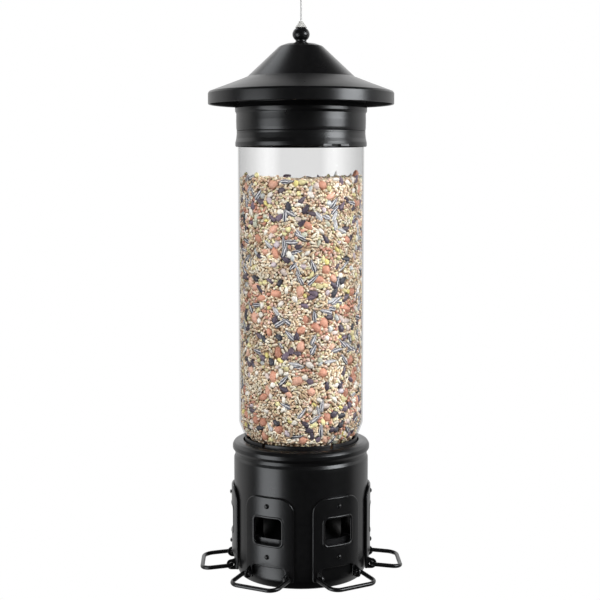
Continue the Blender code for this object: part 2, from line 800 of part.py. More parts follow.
def plate_outline():
    """A port plate laid flat: round shoulders, and a notch between its two legs."""
    shoulder = PLATE_HALF_WIDTH - PLATE_CORNER
    right = [(NOTCH_HALF_WIDTH, PLATE_BOTTOM), (PLATE_HALF_WIDTH, PLATE_BOTTOM)]
    right += arc((shoulder, PLATE_TOP - PLATE_CORNER), PLATE_CORNER, 0, 90, 4)
    left = [(-y, z) for y, z in right[::-1]]
    corner = 3.0 * MM
    notch = arc((-NOTCH_HALF_WIDTH + corner, NOTCH_TOP - corner), corner, 180, 90, 2)
    notch += arc((NOTCH_HALF_WIDTH - corner, NOTCH_TOP - corner), corner, 90, 0, 2)
    return right + left + notch


def ear_block(side):
    """One ear: a round-nosed tab that stands out from a plate's leg, drilled for the perch."""
    root_x = 62.4 * MM
    nose = arc((HINGE_RADIUS, HINGE_HEIGHT), EAR_RADIUS, -90, 90, 4)
    outline = [(root_x, HINGE_HEIGHT - EAR_RADIUS)] + nose + [(root_x, HINGE_HEIGHT + EAR_RADIUS)]
    flat = prism("ear", outline, EAR_INNER, EAR_INNER + EAR_SHEET)
    # the outline was drawn in Y and Z: turn it to stand in X and Z, on its side of the plate
    swap = Matrix(((0, 1, 0, 0), (side, 0, 0, 0), (0, 0, 1, 0), (0, 0, 0, 1)))
    flat.transform(swap)
    if side > 0:
        flat.flip_normals()
    return flat


def make_port_plate():
    """Curved plate round one port, with the perch's two ears and two rivet holes."""
    inner = PLATE_RADIUS - PLATE_SHEET
    skin_sides = 6  # as many of the shell's own flats as the plate needs
    skin_half_angle = 180 * skin_sides / ROUND
    blank = sector("port_plate", inner, PLATE_RADIUS, 0.0, 100 * MM, skin_half_angle, skin_sides)
    cookie = prism("outline", plate_outline(), 40 * MM, 80 * MM)
    plate = combine("port_plate", blank, [cookie], "INTERSECT")
    opening = rounded_box(PORT_HALF_WIDTH, PORT_BOTTOM, PORT_TOP, PORT_CORNER)
    window = prism("window", opening, 57 * MM, 72 * MM)
    plate = combine("port_plate", plate, [window], "DIFFERENCE")
    plate = combine("port_plate", plate, [ear_block(1), ear_block(-1)], "UNION")
    reach = 30 * MM
    drill = rod("perch_hole", PERCH_WIRE + 0.35 * MM, -reach, reach, 8)
    drill.transform(Matrix.Rotation(math.radians(90), 4, "X"))
    drill.transform(Matrix.Translation((HINGE_RADIUS, 0.0, HINGE_HEIGHT)))
    return combine("port_plate", plate, [drill] + rivet_holes(1), "DIFFERENCE")


def make_rivet():
    """Dome-headed rivet along X, from its tail inside the shell to its head on the plate."""
    head_base = PLATE_RADIUS + GAP
    dome = 1.3 * MM
    tail = SHELL_RADIUS - SHELL_SHEET - 0.5 * MM
    tail_thick = 0.9 * MM
    tail_radius = 2.0 * MM
    profile = [
        (0.0, head_base + dome),
        (RIVET_HEAD * 0.6, head_base + dome * 0.75),
        (RIVET_HEAD, head_base),
        (RIVET_SHANK, head_base),
        (RIVET_SHANK, tail),
        (tail_radius, tail),
        (tail_radius, tail - tail_thick),
        (0.0, tail - tail_thick),
    ]
    rivet = turned("rivet", profile, 8, False)
    rivet.transform(Matrix.Rotation(math.radians(90), 4, "Y"))
    return rivet


def build_shroud(root, coat):
    """The outer shell, its pan, and a riveted plate at each port."""
    place("base_shell", make_base_shell(), coat, root)
    place("base_pan", make_base_pan(), coat, root)
    plate = make_port_plate()
    rivet = make_rivet()
    for i in range(PORT_COUNT):
        angle = 360 * i / PORT_COUNT
        place(f"port_plate_{i + 1}", plate.copy(), coat, root, turn=angle)
        for row, height in RIVET_HEIGHTS.items():
            spot = (0.0, 0.0, height)
            place(f"{row}_rivet_{i + 1}", rivet.copy(), coat, root, location=spot, turn=angle)


# ---------------------------------------------------------------- perches, each hinged in two ears


def perch_points():
    """Half a flat U of wire and its mirror image, drawn round the hinge axis and then sloped."""
    reach = PERCH_REACH - HINGE_RADIUS
    bend = PERCH_END_CORNER
    half = [(0.0, PERCH_END)]
    half += arc((bend, PERCH_HALF_WIDTH - bend), bend, 180, 90, 2)
    half += arc((reach - PERCH_CORNER, PERCH_HALF_WIDTH - PERCH_CORNER), PERCH_CORNER, 90, 0, 4)
    outline = half + [(x, -y) for x, y in half[::-1]]
    slope = Matrix.Rotation(math.radians(PERCH_SLOPE), 4, "Y")
    return [slope @ Vector((x, y, 0.0)) for x, y in outline]


def build_perches(root, coat):
    """Six wire perches, each with its origin on its hinge axis."""
    for i in range(PORT_COUNT):
        turn = 2 * math.pi * i / PORT_COUNT
        spot = (HINGE_RADIUS * math.cos(turn), HINGE_RADIUS * math.sin(turn), HINGE_HEIGHT)
        wire(f"perch_{i + 1}", perch_points(), PERCH_WIRE, coat, root, spot, math.degrees(turn))


def main():
    """Build the whole feeder under one empty."""
    clear_scene()
    root = bpy.data.objects.new("feeder", None)
    bpy.context.scene.collection.objects.link(root)
    root.location = (0.0, 0.0, -HANG_HEIGHT)
    coat = material("black_powder_coat", BLACK_COAT, 0.42)
    plastic = material("black_plastic", BLACK_PLASTIC, 0.5)
    clear = material("clear_plastic", CLEAR_PLASTIC, 0.08)
    pale = material("pale_plastic", PALE_PLASTIC, 0.5)
    steel = material("bare_steel", BARE_STEEL, 0.35, 1.0)
    cable = material("steel_cable", CABLE_STEEL, 0.45, 1.0)
    build_reservoir(root, coat, clear, steel, cable)
    build_roof(root, coat, pale, steel)
    build_hopper(root, coat, plastic, steel)
    build_shroud(root, coat)
    build_perches(root, coat)


main()
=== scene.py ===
"""Looks of the hanging tube feeder: smooth spun and pressed metal, a clear tube, and the seed mix inside it.

Heights given in millimetres are above the underside of the base pan. Radii and angles are round the
feeder's upright axis, with angle 0 along +X. The camera looks along +Y.
"""

import math

import bmesh
import bpy
import numpy as np
from mathutils import Matrix, Vector


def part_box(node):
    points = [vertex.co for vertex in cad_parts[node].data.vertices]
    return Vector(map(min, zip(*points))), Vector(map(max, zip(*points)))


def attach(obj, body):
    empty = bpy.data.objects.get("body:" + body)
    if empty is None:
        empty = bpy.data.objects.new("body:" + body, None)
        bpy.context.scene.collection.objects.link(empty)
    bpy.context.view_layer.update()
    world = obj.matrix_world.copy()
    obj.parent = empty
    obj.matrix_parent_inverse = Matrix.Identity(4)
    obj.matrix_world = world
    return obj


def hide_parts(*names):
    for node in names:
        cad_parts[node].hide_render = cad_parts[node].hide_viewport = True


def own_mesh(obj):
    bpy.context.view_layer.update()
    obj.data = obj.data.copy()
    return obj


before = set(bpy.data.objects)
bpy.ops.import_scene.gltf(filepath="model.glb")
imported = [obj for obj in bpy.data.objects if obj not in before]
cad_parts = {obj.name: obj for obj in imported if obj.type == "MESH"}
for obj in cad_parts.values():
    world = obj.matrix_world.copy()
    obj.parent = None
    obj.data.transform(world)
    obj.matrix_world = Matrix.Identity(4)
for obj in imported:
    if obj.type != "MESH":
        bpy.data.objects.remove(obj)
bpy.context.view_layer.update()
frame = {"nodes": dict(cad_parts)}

MM = 0.001
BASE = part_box("base_pan")[0].z  # height of the pan's underside
PORTS = 6
SIDES = 180  # round the large pieces: a multiple of the ports
FINE = 48  # round the small pieces

TUBE_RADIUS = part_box("seed_tube")[1].x / MM
ROOF_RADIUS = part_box("roof_shell")[1].x / MM
SHELL_RADIUS = 65.0
PLATE_RADIUS = 67.6
PLATE_SHEET = 2.2
VIEW_ANGLE = 1.7  # degrees that the camera stands to the left of straight in front
PORT_HALF_WIDTH = 15.0
PORT_BOTTOM = 43.0
PORT_TOP = 69.0
RIVET_ROWS = {"upper": 80.0, "lower": 31.6}
HINGE_RADIUS = 67.5
HINGE_HEIGHT = 13.5
RING_SLOTS = 5
RING_SLOT_ANGLE = 12.1  # degrees of the ring's first slot
RIVET_SEAT = 0.0679  # metres from the axis to the underside of a rivet's head
LIP_RADIUS = 0.0014  # of a window's rolled edge, in metres
PERCH_WIRE = 0.002  # radius in metres
CAMERA_SPOT = (-0.001, -1.228, 0.3919)  # metres from the middle of the pan's underside
CAMERA_LENS = 77.0
CAMERA_TILT = 5.8  # degrees below level


# ------------------------ outlines


def arc(centre, radius, start, end, steps):
    """Points along an arc, with its angles in degrees."""
    turns = [math.radians(start + (end - start) * i / steps) for i in range(steps + 1)]
    return [(centre[0] + radius * math.cos(a), centre[1] + radius * math.sin(a)) for a in turns]


def rounded(points, closed=True, steps=5):
    """An outline with its corners rounded. Each point is (x, y) for a sharp corner, or (x, y, radius)."""
    result = []
    count = len(points)
    for i, point in enumerate(points):
        here = Vector(point[:2])
        radius = point[2] if len(point) > 2 else 0.0
        ends = not closed and i in (0, count - 1)
        if radius == 0.0 or ends:
            result.append(tuple(here))
            continue
        back = Vector(points[i - 1][:2]) - here
        on = Vector(points[(i + 1) % count][:2]) - here
        half = back.angle(on) / 2
        reach = min(radius / math.tan(half), 0.49 * back.length, 0.49 * on.length)
        start = here + back.normalized() * reach
        end = here + on.normalized() * reach
        for k in range(steps + 1):
            t = k / steps
            result.append(tuple((1 - t) ** 2 * start + 2 * t * (1 - t) * here + t * t * end))
    return result


def rounded_box(half_width, bottom, top, corner, steps=6):
    """The outline of an upright rectangle with round corners, centred on zero."""
    reach = half_width - corner
    outline = arc((reach, top - corner), corner, 0, 90, steps)
    outline += arc((-reach, top - corner), corner, 90, 180, steps)
    outline += arc((-reach, bottom + corner), corner, 180, 270, steps)
    outline += arc((reach, bottom + corner), corner, 270, 360, steps)
    return outline


# ------------------------ meshes


def finish_mesh(mesh, sharp=35):
    """Smooth shading, with edges above an angle kept sharp."""
    mesh.shade_smooth()
    mesh.set_sharp_from_angle(angle=math.radians(sharp))
    return mesh


def mesh_from(bm, name, sharp=None):
    """The mesh a bmesh holds, with its faces turned outwards, and shaded if it is given a sharp angle."""
    bmesh.ops.recalc_face_normals(bm, faces=bm.faces)
    mesh = bpy.data.meshes.new(name)
    bm.to_mesh(mesh)
    bm.free()
    return finish_mesh(mesh, sharp) if sharp else mesh


def bridge(bm, rings):
    """Faces between each ring of corners and the next."""
    for one, two in zip(rings, rings[1:]):
        for k in range(len(one)):
            on = (k + 1) % len(one)
            bm.faces.new((one[k], one[on], two[on], two[k]))


def link(name, data):
    """A new object in the scene."""
    made = bpy.data.objects.new(name, data)
    bpy.context.scene.collection.objects.link(made)
    return made


def turned_mesh(name, profile, sides=SIDES, closed=True):
    """Spin a profile of (radius, height) points in mm round the axis. An open profile ends on the axis."""
    bm = bmesh.new()
    verts = [bm.verts.new((r * MM, 0.0, BASE + z * MM)) for r, z in profile]
    edges = [bm.edges.new(pair) for pair in zip(verts, verts[1:])]
    if closed:
        edges.append(bm.edges.new((verts[-1], verts[0])))
    middle, up = (0.0, 0.0, 0.0), (0.0, 0.0, 1.0)
    bmesh.ops.spin(bm, geom=verts + edges, cent=middle, axis=up, angle=math.tau, steps=sides, use_merge=True)
    bmesh.ops.remove_doubles(bm, verts=bm.verts, dist=1e-7)
    return mesh_from(bm, name, 35)


def turned_outwards(name, profile, origin, sides):
    """Spin an open profile of (radius, distance) in mm round a line along X from origin, in metres."""
    mesh = turned_mesh(name, profile, sides, False)
    lay = Vector((1, 0, 0)).to_track_quat("Z", "Y").to_matrix().to_4x4()
    mesh.transform(Matrix.Translation(origin) @ lay @ Matrix.Translation((0, 0, -BASE)))
    return mesh


def prism_mesh(outline, low, high):
    """A flat outline of (y, z) points in mm, extruded along X from low to high. A cutter only."""
    bm = bmesh.new()
    verts = [bm.verts.new((low * MM, y * MM, BASE + z * MM)) for y, z in outline]
    face = bm.faces.new(verts)
    grown = bmesh.ops.extrude_face_region(bm, geom=[face])
    moved = [v for v in grown["geom"] if isinstance(v, bmesh.types.BMVert)]
    bmesh.ops.translate(bm, verts=moved, vec=((high - low) * MM, 0.0, 0.0))
    return mesh_from(bm, "prism")


def cut(mesh, cutters):
    """The mesh less the cutters, which are joined into one first and don't meet each other."""
    body = link("cut_body", mesh)
    tool = link("cut_tool", joined("cut_tool", cutters))
    step = body.modifiers.new("cut", "BOOLEAN")
    step.operation = "DIFFERENCE"
    step.solver = "EXACT"
    step.object = tool
    graph = bpy.context.evaluated_depsgraph_get()
    result = bpy.data.meshes.new_from_object(body.evaluated_get(graph))
    bpy.data.objects.remove(body)
    bpy.data.objects.remove(tool)
    return finish_mesh(result)


def joined(name, meshes):
    """Several meshes as one."""
    bm = bmesh.new()
    for mesh in meshes:
        bm.from_mesh(mesh)
    result = bpy.data.meshes.new(name)
    bm.to_mesh(result)
    bm.free()
    return result


def spun_copies(mesh, count=PORTS, first=0.0):
    """Copies of a mesh round the axis."""
    copies = []
    for i in range(count):
        copy = mesh.copy()
        copy.transform(Matrix.Rotation(math.radians(first + 360 * i / count), 4, "Z"))
        copies.append(copy)
    return copies


def tube_mesh(name, points, radius, sides, closed=False):
    """A round tube along points, in metres, with domed ends if it is open."""
    path = [Vector(p) for p in points]
    count = len(path)
    bm = bmesh.new()
    rings = []
    normal = None
    for i, here in enumerate(path):
        if closed:
            along = (path[(i + 1) % count] - path[i - 1]).normalized()
        else:
            along = (path[min(i + 1, count - 1)] - path[max(i - 1, 0)]).normalized()
        if normal is None:
            normal = along.orthogonal().normalized()
        normal = (normal - along * normal.dot(along)).normalized()
        across = along.cross(normal)
        ring = []
        for k in range(sides):
            a = math.tau * k / sides
            ring.append(bm.verts.new(here + radius * (math.cos(a) * normal + math.sin(a) * across)))
        rings.append(ring)
    bridge(bm, rings + rings[:1] if closed else rings)
    if not closed:
        for ring, tip, inward in ((rings[0], path[0], path[1]), (rings[-1], path[-1], path[-2])):
            out = (tip - inward).normalized()
            inner = [bm.verts.new(tip + (v.co - tip) * 0.72 + out * radius * 0.45) for v in ring]
            bridge(bm, [ring, inner])
            bm.faces.new(inner)
    return mesh_from(bm, name, 50)


def flat_sheet(name, loops, thickness, edge, steps):
    """Sheet metal lying flat, as a bmesh in mm: an outline and its holes, with edges rounded in steps."""
    curve = bpy.data.curves.new(name, "CURVE")
    curve.dimensions = "2D"
    curve.fill_mode = "BOTH"
    curve.extrude = thickness / 2 - edge
    curve.bevel_depth = edge
    curve.bevel_resolution = steps
    curve.offset = -edge
    for loop in loops:
        spline = curve.splines.new("POLY")
        spline.points.add(len(loop) - 1)
        spline.use_cyclic_u = True
        for point, spot in zip(spline.points, loop):
            point.co = (*spot, 0.0, 1.0)
    flat = link(name, curve)
    graph = bpy.context.evaluated_depsgraph_get()
    mesh = bpy.data.meshes.new_from_object(flat.evaluated_get(graph))
    bpy.data.objects.remove(flat)
    bm = bmesh.new()
    bm.from_mesh(mesh)
    bmesh.ops.remove_doubles(bm, verts=bm.verts, dist=1e-4)
    return bm


def bent_sheet(name, loops, inner_radius, thickness, edge):
    """Sheet metal cut to outlines of (y, z) points in mm, then bent round the axis at +X."""
    bm = flat_sheet(name, loops, thickness, edge, 4)
    low = min(v.co.x for v in bm.verts)
    high = max(v.co.x for v in bm.verts)
    strip = 2.0  # width in mm of the flats that make the bend
    steps = int((high - low) / strip)
    for i in range(1, steps):
        spot = (low + (high - low) * i / steps, 0.0, 0.0)
        every = bm.verts[:] + bm.edges[:] + bm.faces[:]
        bmesh.ops.bisect_plane(bm, geom=every, plane_co=spot, plane_no=(1.0, 0.0, 0.0))
    middle = inner_radius + thickness / 2
    for v in bm.verts:
        angle = math.asin(max(-1.0, min(1.0, v.co.x / middle)))
        r = middle + v.co.z
        v.co = Vector((r * math.cos(angle) * MM, r * math.sin(angle) * MM, BASE + v.co.y * MM))
    return mesh_from(bm, name, 50)


def paint(mesh, finish):
    """Give a mesh one material."""
    mesh.materials.clear()
    mesh.materials.append(finish)


def piece(name, mesh, body, slot, finish, *nodes):
    """One visible piece: it rides on a body and stands for CAD nodes. The slot it is given is not used."""
    made = link(name, mesh)
    paint(mesh, finish)
    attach(made, body)
    if nodes:
        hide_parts(*nodes)
    return made


# ------------------------ materials


class Graph:
    """A short way to write a node tree. A value that is a socket is linked, and any other is set."""

    def __init__(self, tree):
        self.tree = tree

    def add(self, kind, values=None, **settings):
        node = self.tree.nodes.new(kind)
        for key, value in settings.items():
            setattr(node, key, value)
        for key, value in (values or {}).items():
            self.put(node.inputs[key], value)
        return node

    def put(self, socket, value):
        if isinstance(value, bpy.types.NodeSocket):
            self.tree.links.new(value, socket)
        else:
            socket.default_value = value

    def maths(self, operation, *values):
        """The result of arithmetic on numbers and sockets."""
        return self.add("ShaderNodeMath", dict(enumerate(values)), operation=operation).outputs["Value"]

    def noise(self, scale, detail=3.0):
        place = self.add("ShaderNodeTexCoord").outputs["Object"]
        node = self.add("ShaderNodeTexNoise", {"Vector": place, "Scale": scale, "Detail": detail})
        return node.outputs["Fac"]

    def ramp(self, factor, stops, smooth="LINEAR"):
        """A factor from 0 to 1, turned into a colour by stops of (place, colour)."""
        node = self.add("ShaderNodeValToRGB", {"Fac": factor})
        node.color_ramp.interpolation = smooth
        points = node.color_ramp.elements
        while len(points) < len(stops):
            points.new(0.5)
        for point, (spot, colour) in zip(points, stops):
            point.position = spot
            point.color = (*colour, 1.0)
        return node.outputs["Color"]

    def spread(self, factor, low, high):
        """A factor from 0 to 1, turned into a number from low to high."""
        node = self.add("ShaderNodeMapRange", {"Value": factor, "To Min": low, "To Max": high})
        return node.outputs["Result"]

    def mix(self, factor, one, two, blend="MIX"):
        """Two colours blended. A plain colour is set and a socket linked."""
        node = self.add("ShaderNodeMix", {0: factor, 6: one, 7: two}, data_type="RGBA", blend_type=blend)
        return node.outputs[2]


class Nodes(Graph):
    """The node tree of a new material, round its principled shader."""

    def __init__(self, name):
        self.material = bpy.data.materials.new(name)
        self.material.use_nodes = True
        super().__init__(self.material.node_tree)
        self.shader = self.tree.nodes["Principled BSDF"]
        self.out = self.tree.nodes["Material Output"]

    def set(self, **values):
        for key, value in values.items():
            self.put(self.shader.inputs[key.replace("_", " ")], value)

    def bump(self, height, distance, strength=1.0):
        node = self.add("ShaderNodeBump", {"Height": height, "Distance": distance, "Strength": strength})
        self.set(Normal=node.outputs["Normal"])


def srgb(red, green, blue):
    """A colour on the 0 to 255 screen scale, as Blender's linear values."""
    shares = (v / 255 for v in (red, green, blue))
    return tuple(v / 12.92 if v <= 10 / 255 else ((v + 0.055) / 1.055) ** 2.4 for v in shares)


def tones(*rows):
    """Ramp stops from rows of (place, red, green, blue), on the screen scale."""
    return [(row[0], srgb(*row[1:])) for row in rows]


def greys(*rows):
    """Ramp stops from rows of (place, linear level)."""
    return [(spot, (level, level, level)) for spot, level in rows]


def powder_coat():
    """Satin black powder coat: fine orange peel, and slight patches in its gloss."""
    m = Nodes("powder_coat")
    patches = m.noise(60.0, 4.0)
    peel = m.noise(1100.0, 2.0)
    colour = m.ramp(m.noise(220.0, 5.0), [(0.3, (0.0018, 0.0018, 0.002)), (0.7, (0.0032, 0.0032, 0.0034))])
    m.set(Base_Color=colour, Roughness=m.spread(patches, 0.25, 0.33), Metallic=0.0, IOR=1.5)
    m.bump(peel, 0.00006, 0.5)
    return m.material


def black_plastic():
    """Moulded black plastic, a little glossier than the coat."""
    m = Nodes("black_plastic")
    colour = m.ramp(m.noise(90.0, 4.0), tones((0.3, 7, 7, 8), (0.7, 12, 12, 13)))
    m.set(Base_Color=colour, Roughness=m.spread(m.noise(400.0), 0.3, 0.45))
    m.bump(m.noise(1500.0, 2.0), 0.00004, 0.4)
    return m.material


def clear_plastic():
    """Clear tube wall: mostly see-through, greyer where it is seen edge on, with a faint gloss, and a painted
    reflection of the side lights as a lighter see-through band partway out from the middle.
    """
    m = Nodes("clear_plastic")
    edge = m.add("ShaderNodeLayerWeight", {"Blend": 0.5}).outputs["Facing"]
    haze = m.noise(7.0, 2.0)
    # see-through colour by facing: greyer edge on, and lighter from 0.1 to 0.24 than face on, which is painted
    # reflection of the side lights
    grey_edge_and_painted_reflection = greys(
        (0.0, 0.93), (0.05, 0.93), (0.1, 0.976), (0.16, 0.99), (0.24, 0.968), (0.32, 0.938),
        (0.45, 0.905), (0.55, 0.885), (0.75, 0.872), (0.88, 0.84), (1.0, 0.8),
    )
    tint_with_painted_reflection = m.ramp(edge, grey_edge_and_painted_reflection)
    clear = m.add("ShaderNodeBsdfTransparent", {"Color": tint_with_painted_reflection})
    m.set(Base_Color=(0.0, 0.0, 0.0, 1.0), Roughness=m.spread(haze, 0.05, 0.09), Metallic=0.0)
    share = m.maths("MULTIPLY_ADD", m.maths("POWER", edge, 5.0), 0.09, 0.006)
    mix = m.add("ShaderNodeMixShader", {0: share, 1: clear.outputs["BSDF"], 2: m.shader.outputs["BSDF"]})
    m.tree.links.new(mix.outputs["Shader"], m.out.inputs["Surface"])
    return m.material


def pale_plastic():
    """Small whitish moulding."""
    m = Nodes("pale_plastic")
    colour = m.ramp(m.noise(500.0), tones((0.3, 146, 146, 143), (0.7, 158, 158, 155)))
    m.set(Base_Color=colour, Roughness=0.5)
    m.bump(m.noise(1500.0), 0.00001, 0.2)
    return m.material


def plated_steel():
    """Zinc-plated steel with a faint grain."""
    m = Nodes("plated_steel")
    colour = m.ramp(m.noise(300.0, 5.0), tones((0.3, 150, 150, 152), (0.7, 190, 190, 192)))
    m.set(Base_Color=colour, Roughness=m.spread(m.noise(900.0), 0.28, 0.45), Metallic=0.9)
    return m.material


def cable_steel():
    """Pale galvanised strands."""
    m = Nodes("cable_steel")
    colour = m.ramp(m.noise(1200.0, 3.0), tones((0.3, 138, 138, 138), (0.7, 164, 164, 164)))
    m.set(Base_Color=colour, Roughness=0.6, Metallic=0.0)
    return m.material


def grain_finish(name, stops, roughness, grain=900.0, depth=0.00012):
    """Seed skin: each seed has its own colour from the stops, mottled a little."""
    m = Nodes(name)
    each = m.add("ShaderNodeNewGeometry").outputs["Random Per Island"]
    colour = m.ramp(each, stops, "CONSTANT")
    mottle = m.noise(grain, 4.0)
    shade = m.ramp(mottle, [(0.25, (0.82, 0.8, 0.77)), (0.6, (1.0, 1.0, 1.0))])
    patch = m.ramp(m.noise(55.0, 2.0), [(0.38, (0.74, 0.72, 0.7)), (0.6, (1.0, 1.0, 1.0))])
    toned = m.mix(1.0, m.mix(1.0, colour, shade, "MULTIPLY"), patch, "MULTIPLY")
    m.set(Base_Color=toned, Roughness=roughness)
    m.bump(mottle, depth, 0.5)
    return m.material


def striped_finish(name, dark, mid, pale, line, width):
    """Sunflower hull: stripes along its length, from the UV map, uneven from seed to seed."""
    m = Nodes(name)
    place = m.add("ShaderNodeUVMap", uv_map="hull").outputs["UV"]
    each = m.add("ShaderNodeNewGeometry").outputs["Random Per Island"]
    parts = m.add("ShaderNodeSeparateXYZ", {"Vector": place})
    turn = m.maths("ADD", parts.outputs["X"], each)
    uneven = m.maths("MULTIPLY_ADD", m.noise(500.0, 3.0), 0.16, turn)
    stripe_count = 6.0
    wave = m.maths("SINE", m.maths("MULTIPLY", uneven, stripe_count * math.tau))
    level = m.add("ShaderNodeMapRange", {"Value": wave, "From Min": -1.0}).outputs["Result"]
    stripes = m.ramp(level, greys((width, 0.0), (width + 0.28, 1.0)))
    ground = m.ramp(each, [(0.0, dark), (0.35, mid), (0.6, dark), (0.8, pale)], "CONSTANT")
    m.set(Base_Color=m.mix(stripes, ground, (*line, 1.0)), Roughness=0.5)
    m.bump(wave, 0.0001, 0.3)
    return m.material


# ------------------------ camera, world and lights


def place_camera():
    """A long lens in front, a little below the top and tilted down."""
    data = bpy.data.cameras.new("camera")
    data.lens = CAMERA_LENS
    data.sensor_width = 36.0
    data.clip_end = 50.0
    camera = link("camera", data)
    turn = Matrix.Rotation(math.radians(-VIEW_ANGLE), 4, "Z")
    x, y, z = CAMERA_SPOT
    camera.location = turn @ Vector((x, y, BASE + z))
    camera.rotation_euler = (math.radians(90.0 - CAMERA_TILT), 0.0, math.radians(-VIEW_ANGLE))
    bpy.context.scene.camera = camera


def place_world():
    """White to look at. Reflections see a dark studio, with a bright backdrop behind it."""
    world = bpy.data.worlds.new("studio")
    world.use_nodes = True
    world.node_tree.nodes.clear()
    g = Graph(world.node_tree)
    place = g.add("ShaderNodeTexCoord").outputs["Generated"]
    parts = g.add("ShaderNodeSeparateXYZ", {0: place}).outputs
    level = g.add("ShaderNodeMapRange", {"Value": parts["Z"], "From Min": -1.0}).outputs["Result"]
    studio = g.ramp(level, greys((0.0, 0.02), (0.5, 0.03), (0.75, 0.03), (1.0, 0.02)))
    behind = g.add(
        "ShaderNodeMapRange",
        {"Value": parts["Y"], "From Min": -0.1, "From Max": 0.4},
        interpolation_type="SMOOTHSTEP",
    )
    drop = greys(
        (0.0, 0.4), (0.45, 0.65), (0.53, 0.7), (0.64, 1.3), (0.725, 1.2), (0.8, 0.4), (0.86, 0.05), (1.0, 0.0),
    )
    panel = g.maths("MULTIPLY", behind.outputs["Result"], g.ramp(level, drop))
    room = g.add("ShaderNodeBackground", {"Color": g.maths("ADD", studio, panel), "Strength": 1.0})
    seen = g.add("ShaderNodeBackground", {"Color": (1.0, 1.0, 1.0, 1.0)})
    looked_at = g.add("ShaderNodeLightPath").outputs["Is Camera Ray"]
    mix = g.add(
        "ShaderNodeMixShader",
        {0: looked_at, 1: room.outputs["Background"], 2: seen.outputs["Background"]},
    )
    g.add("ShaderNodeOutputWorld", {"Surface": mix.outputs["Shader"]})
    bpy.context.scene.world = world


def softbox(name, azimuth, elevation, distance, size, power, aim, gloss, colour=(1.0, 1.0, 1.0)):
    """A soft area light. Azimuth 0 is at the camera's side, and positive to the right. Its aim is a height
    above the base. It either only shows in gloss or only lights matt surfaces."""
    data = bpy.data.lights.new(name, "AREA")
    data.shape = "RECTANGLE"
    data.size, data.size_y = size
    data.energy = power
    light = link(name, data)
    a = math.radians(azimuth - VIEW_ANGLE)
    e = math.radians(elevation)
    target = Vector((0.0, 0.0, BASE + aim))
    away = Vector((math.sin(a) * math.cos(e), -math.cos(a) * math.cos(e), math.sin(e)))
    light.location = target + away * distance
    light.rotation_euler = away.to_track_quat("Z", "Y").to_euler()
    data.color = colour
    light.visible_camera = False
    light.visible_glossy = gloss
    light.visible_diffuse = not gloss


def place_floor():
    """A pale floor well below the feeder. It is only seen, from above, and doesn't light the feeder."""
    drop = 0.45
    half = 6.0
    bm = bmesh.new()
    corners = ((-half, -half), (half, -half), (half, half), (-half, half))
    bm.faces.new([bm.verts.new((x, y, BASE - drop)) for x, y in corners])
    mesh = bpy.data.meshes.new("floor")
    bm.to_mesh(mesh)
    bm.free()
    floor = link("floor", mesh)
    m = Nodes("floor")
    m.set(Base_Color=(0.0, 0.0, 0.0, 1.0), Roughness=0.9, Specular_IOR_Level=0.0)
    m.set(Emission_Color=(1.0, 1.0, 1.0, 1.0), Emission_Strength=1.0)
    under = m.add("ShaderNodeNewGeometry").outputs["Backfacing"]
    clear = m.add("ShaderNodeBsdfTransparent")
    mix = m.add("ShaderNodeMixShader", {0: under, 1: m.shader.outputs["BSDF"], 2: clear.outputs["BSDF"]})
    m.tree.links.new(mix.outputs["Shader"], m.out.inputs["Surface"])
    mesh.materials.append(m.material)
    floor.visible_diffuse = False
    floor.visible_glossy = False


# ------------------------ cable


ANCHOR_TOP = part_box("cable_anchor")[1].z
FERRULE_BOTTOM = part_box("cable_ferrule")[0].z
CABLE_RADIUS = 0.00075
CABLE_TWIST = 0.009  # metres for one turn of the strands
STRANDS = 6


def strand_mesh(name, points):
    """A laid steel cable: a tube whose section is a ring of round strands, turning as it goes."""
    path = [Vector(p) for p in points]
    lengths = [0.0]
    for a, b in zip(path, path[1:]):
        lengths.append(lengths[-1] + (b - a).length)
    bm = bmesh.new()
    around = STRANDS * 4
    rings = []
    normal = Vector((0.0, 1.0, 0.0))
    for i, here in enumerate(path):
        along = (path[min(i + 1, len(path) - 1)] - path[max(i - 1, 0)]).normalized()
        normal = (normal - along * normal.dot(along)).normalized()
        across = along.cross(normal)
        turn = math.tau * lengths[i] / CABLE_TWIST
        ring = []
        for k in range(around):
            a = math.tau * k / around
            r = CABLE_RADIUS * (0.86 + 0.14 * abs(math.cos(a * STRANDS / 2)))
            spot = math.cos(a + turn) * normal + math.sin(a + turn) * across
            ring.append(bm.verts.new(here + r * spot))
        rings.append(ring)
    bridge(bm, rings)
    bm.faces.new(rings[0][::-1])
    bm.faces.new(rings[-1])
    return mesh_from(bm, name, 60)


def loop_points(steps):
    """The hanging loop, a teardrop that starts and ends in the ferrule."""
    foot = 1.1
    foot_height = (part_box("cable_ferrule")[1].z - BASE) / MM + 0.3
    radius = 12.5
    centre = (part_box("hanging_loop")[1].z - BASE - CABLE_RADIUS) / MM - radius
    crown = arc((0.0, centre), radius, -33.0, 213.0, steps)
    side = crown[0]
    rise = [
        (foot + (side[0] - foot) * i / 12, foot_height + (side[1] - foot_height) * i / 12)
        for i in range(12)
    ]
    outline = rise + crown + [(-x, z) for x, z in rise[::-1]]
    return [(x * MM, 0.0, BASE + z * MM) for x, z in outline]


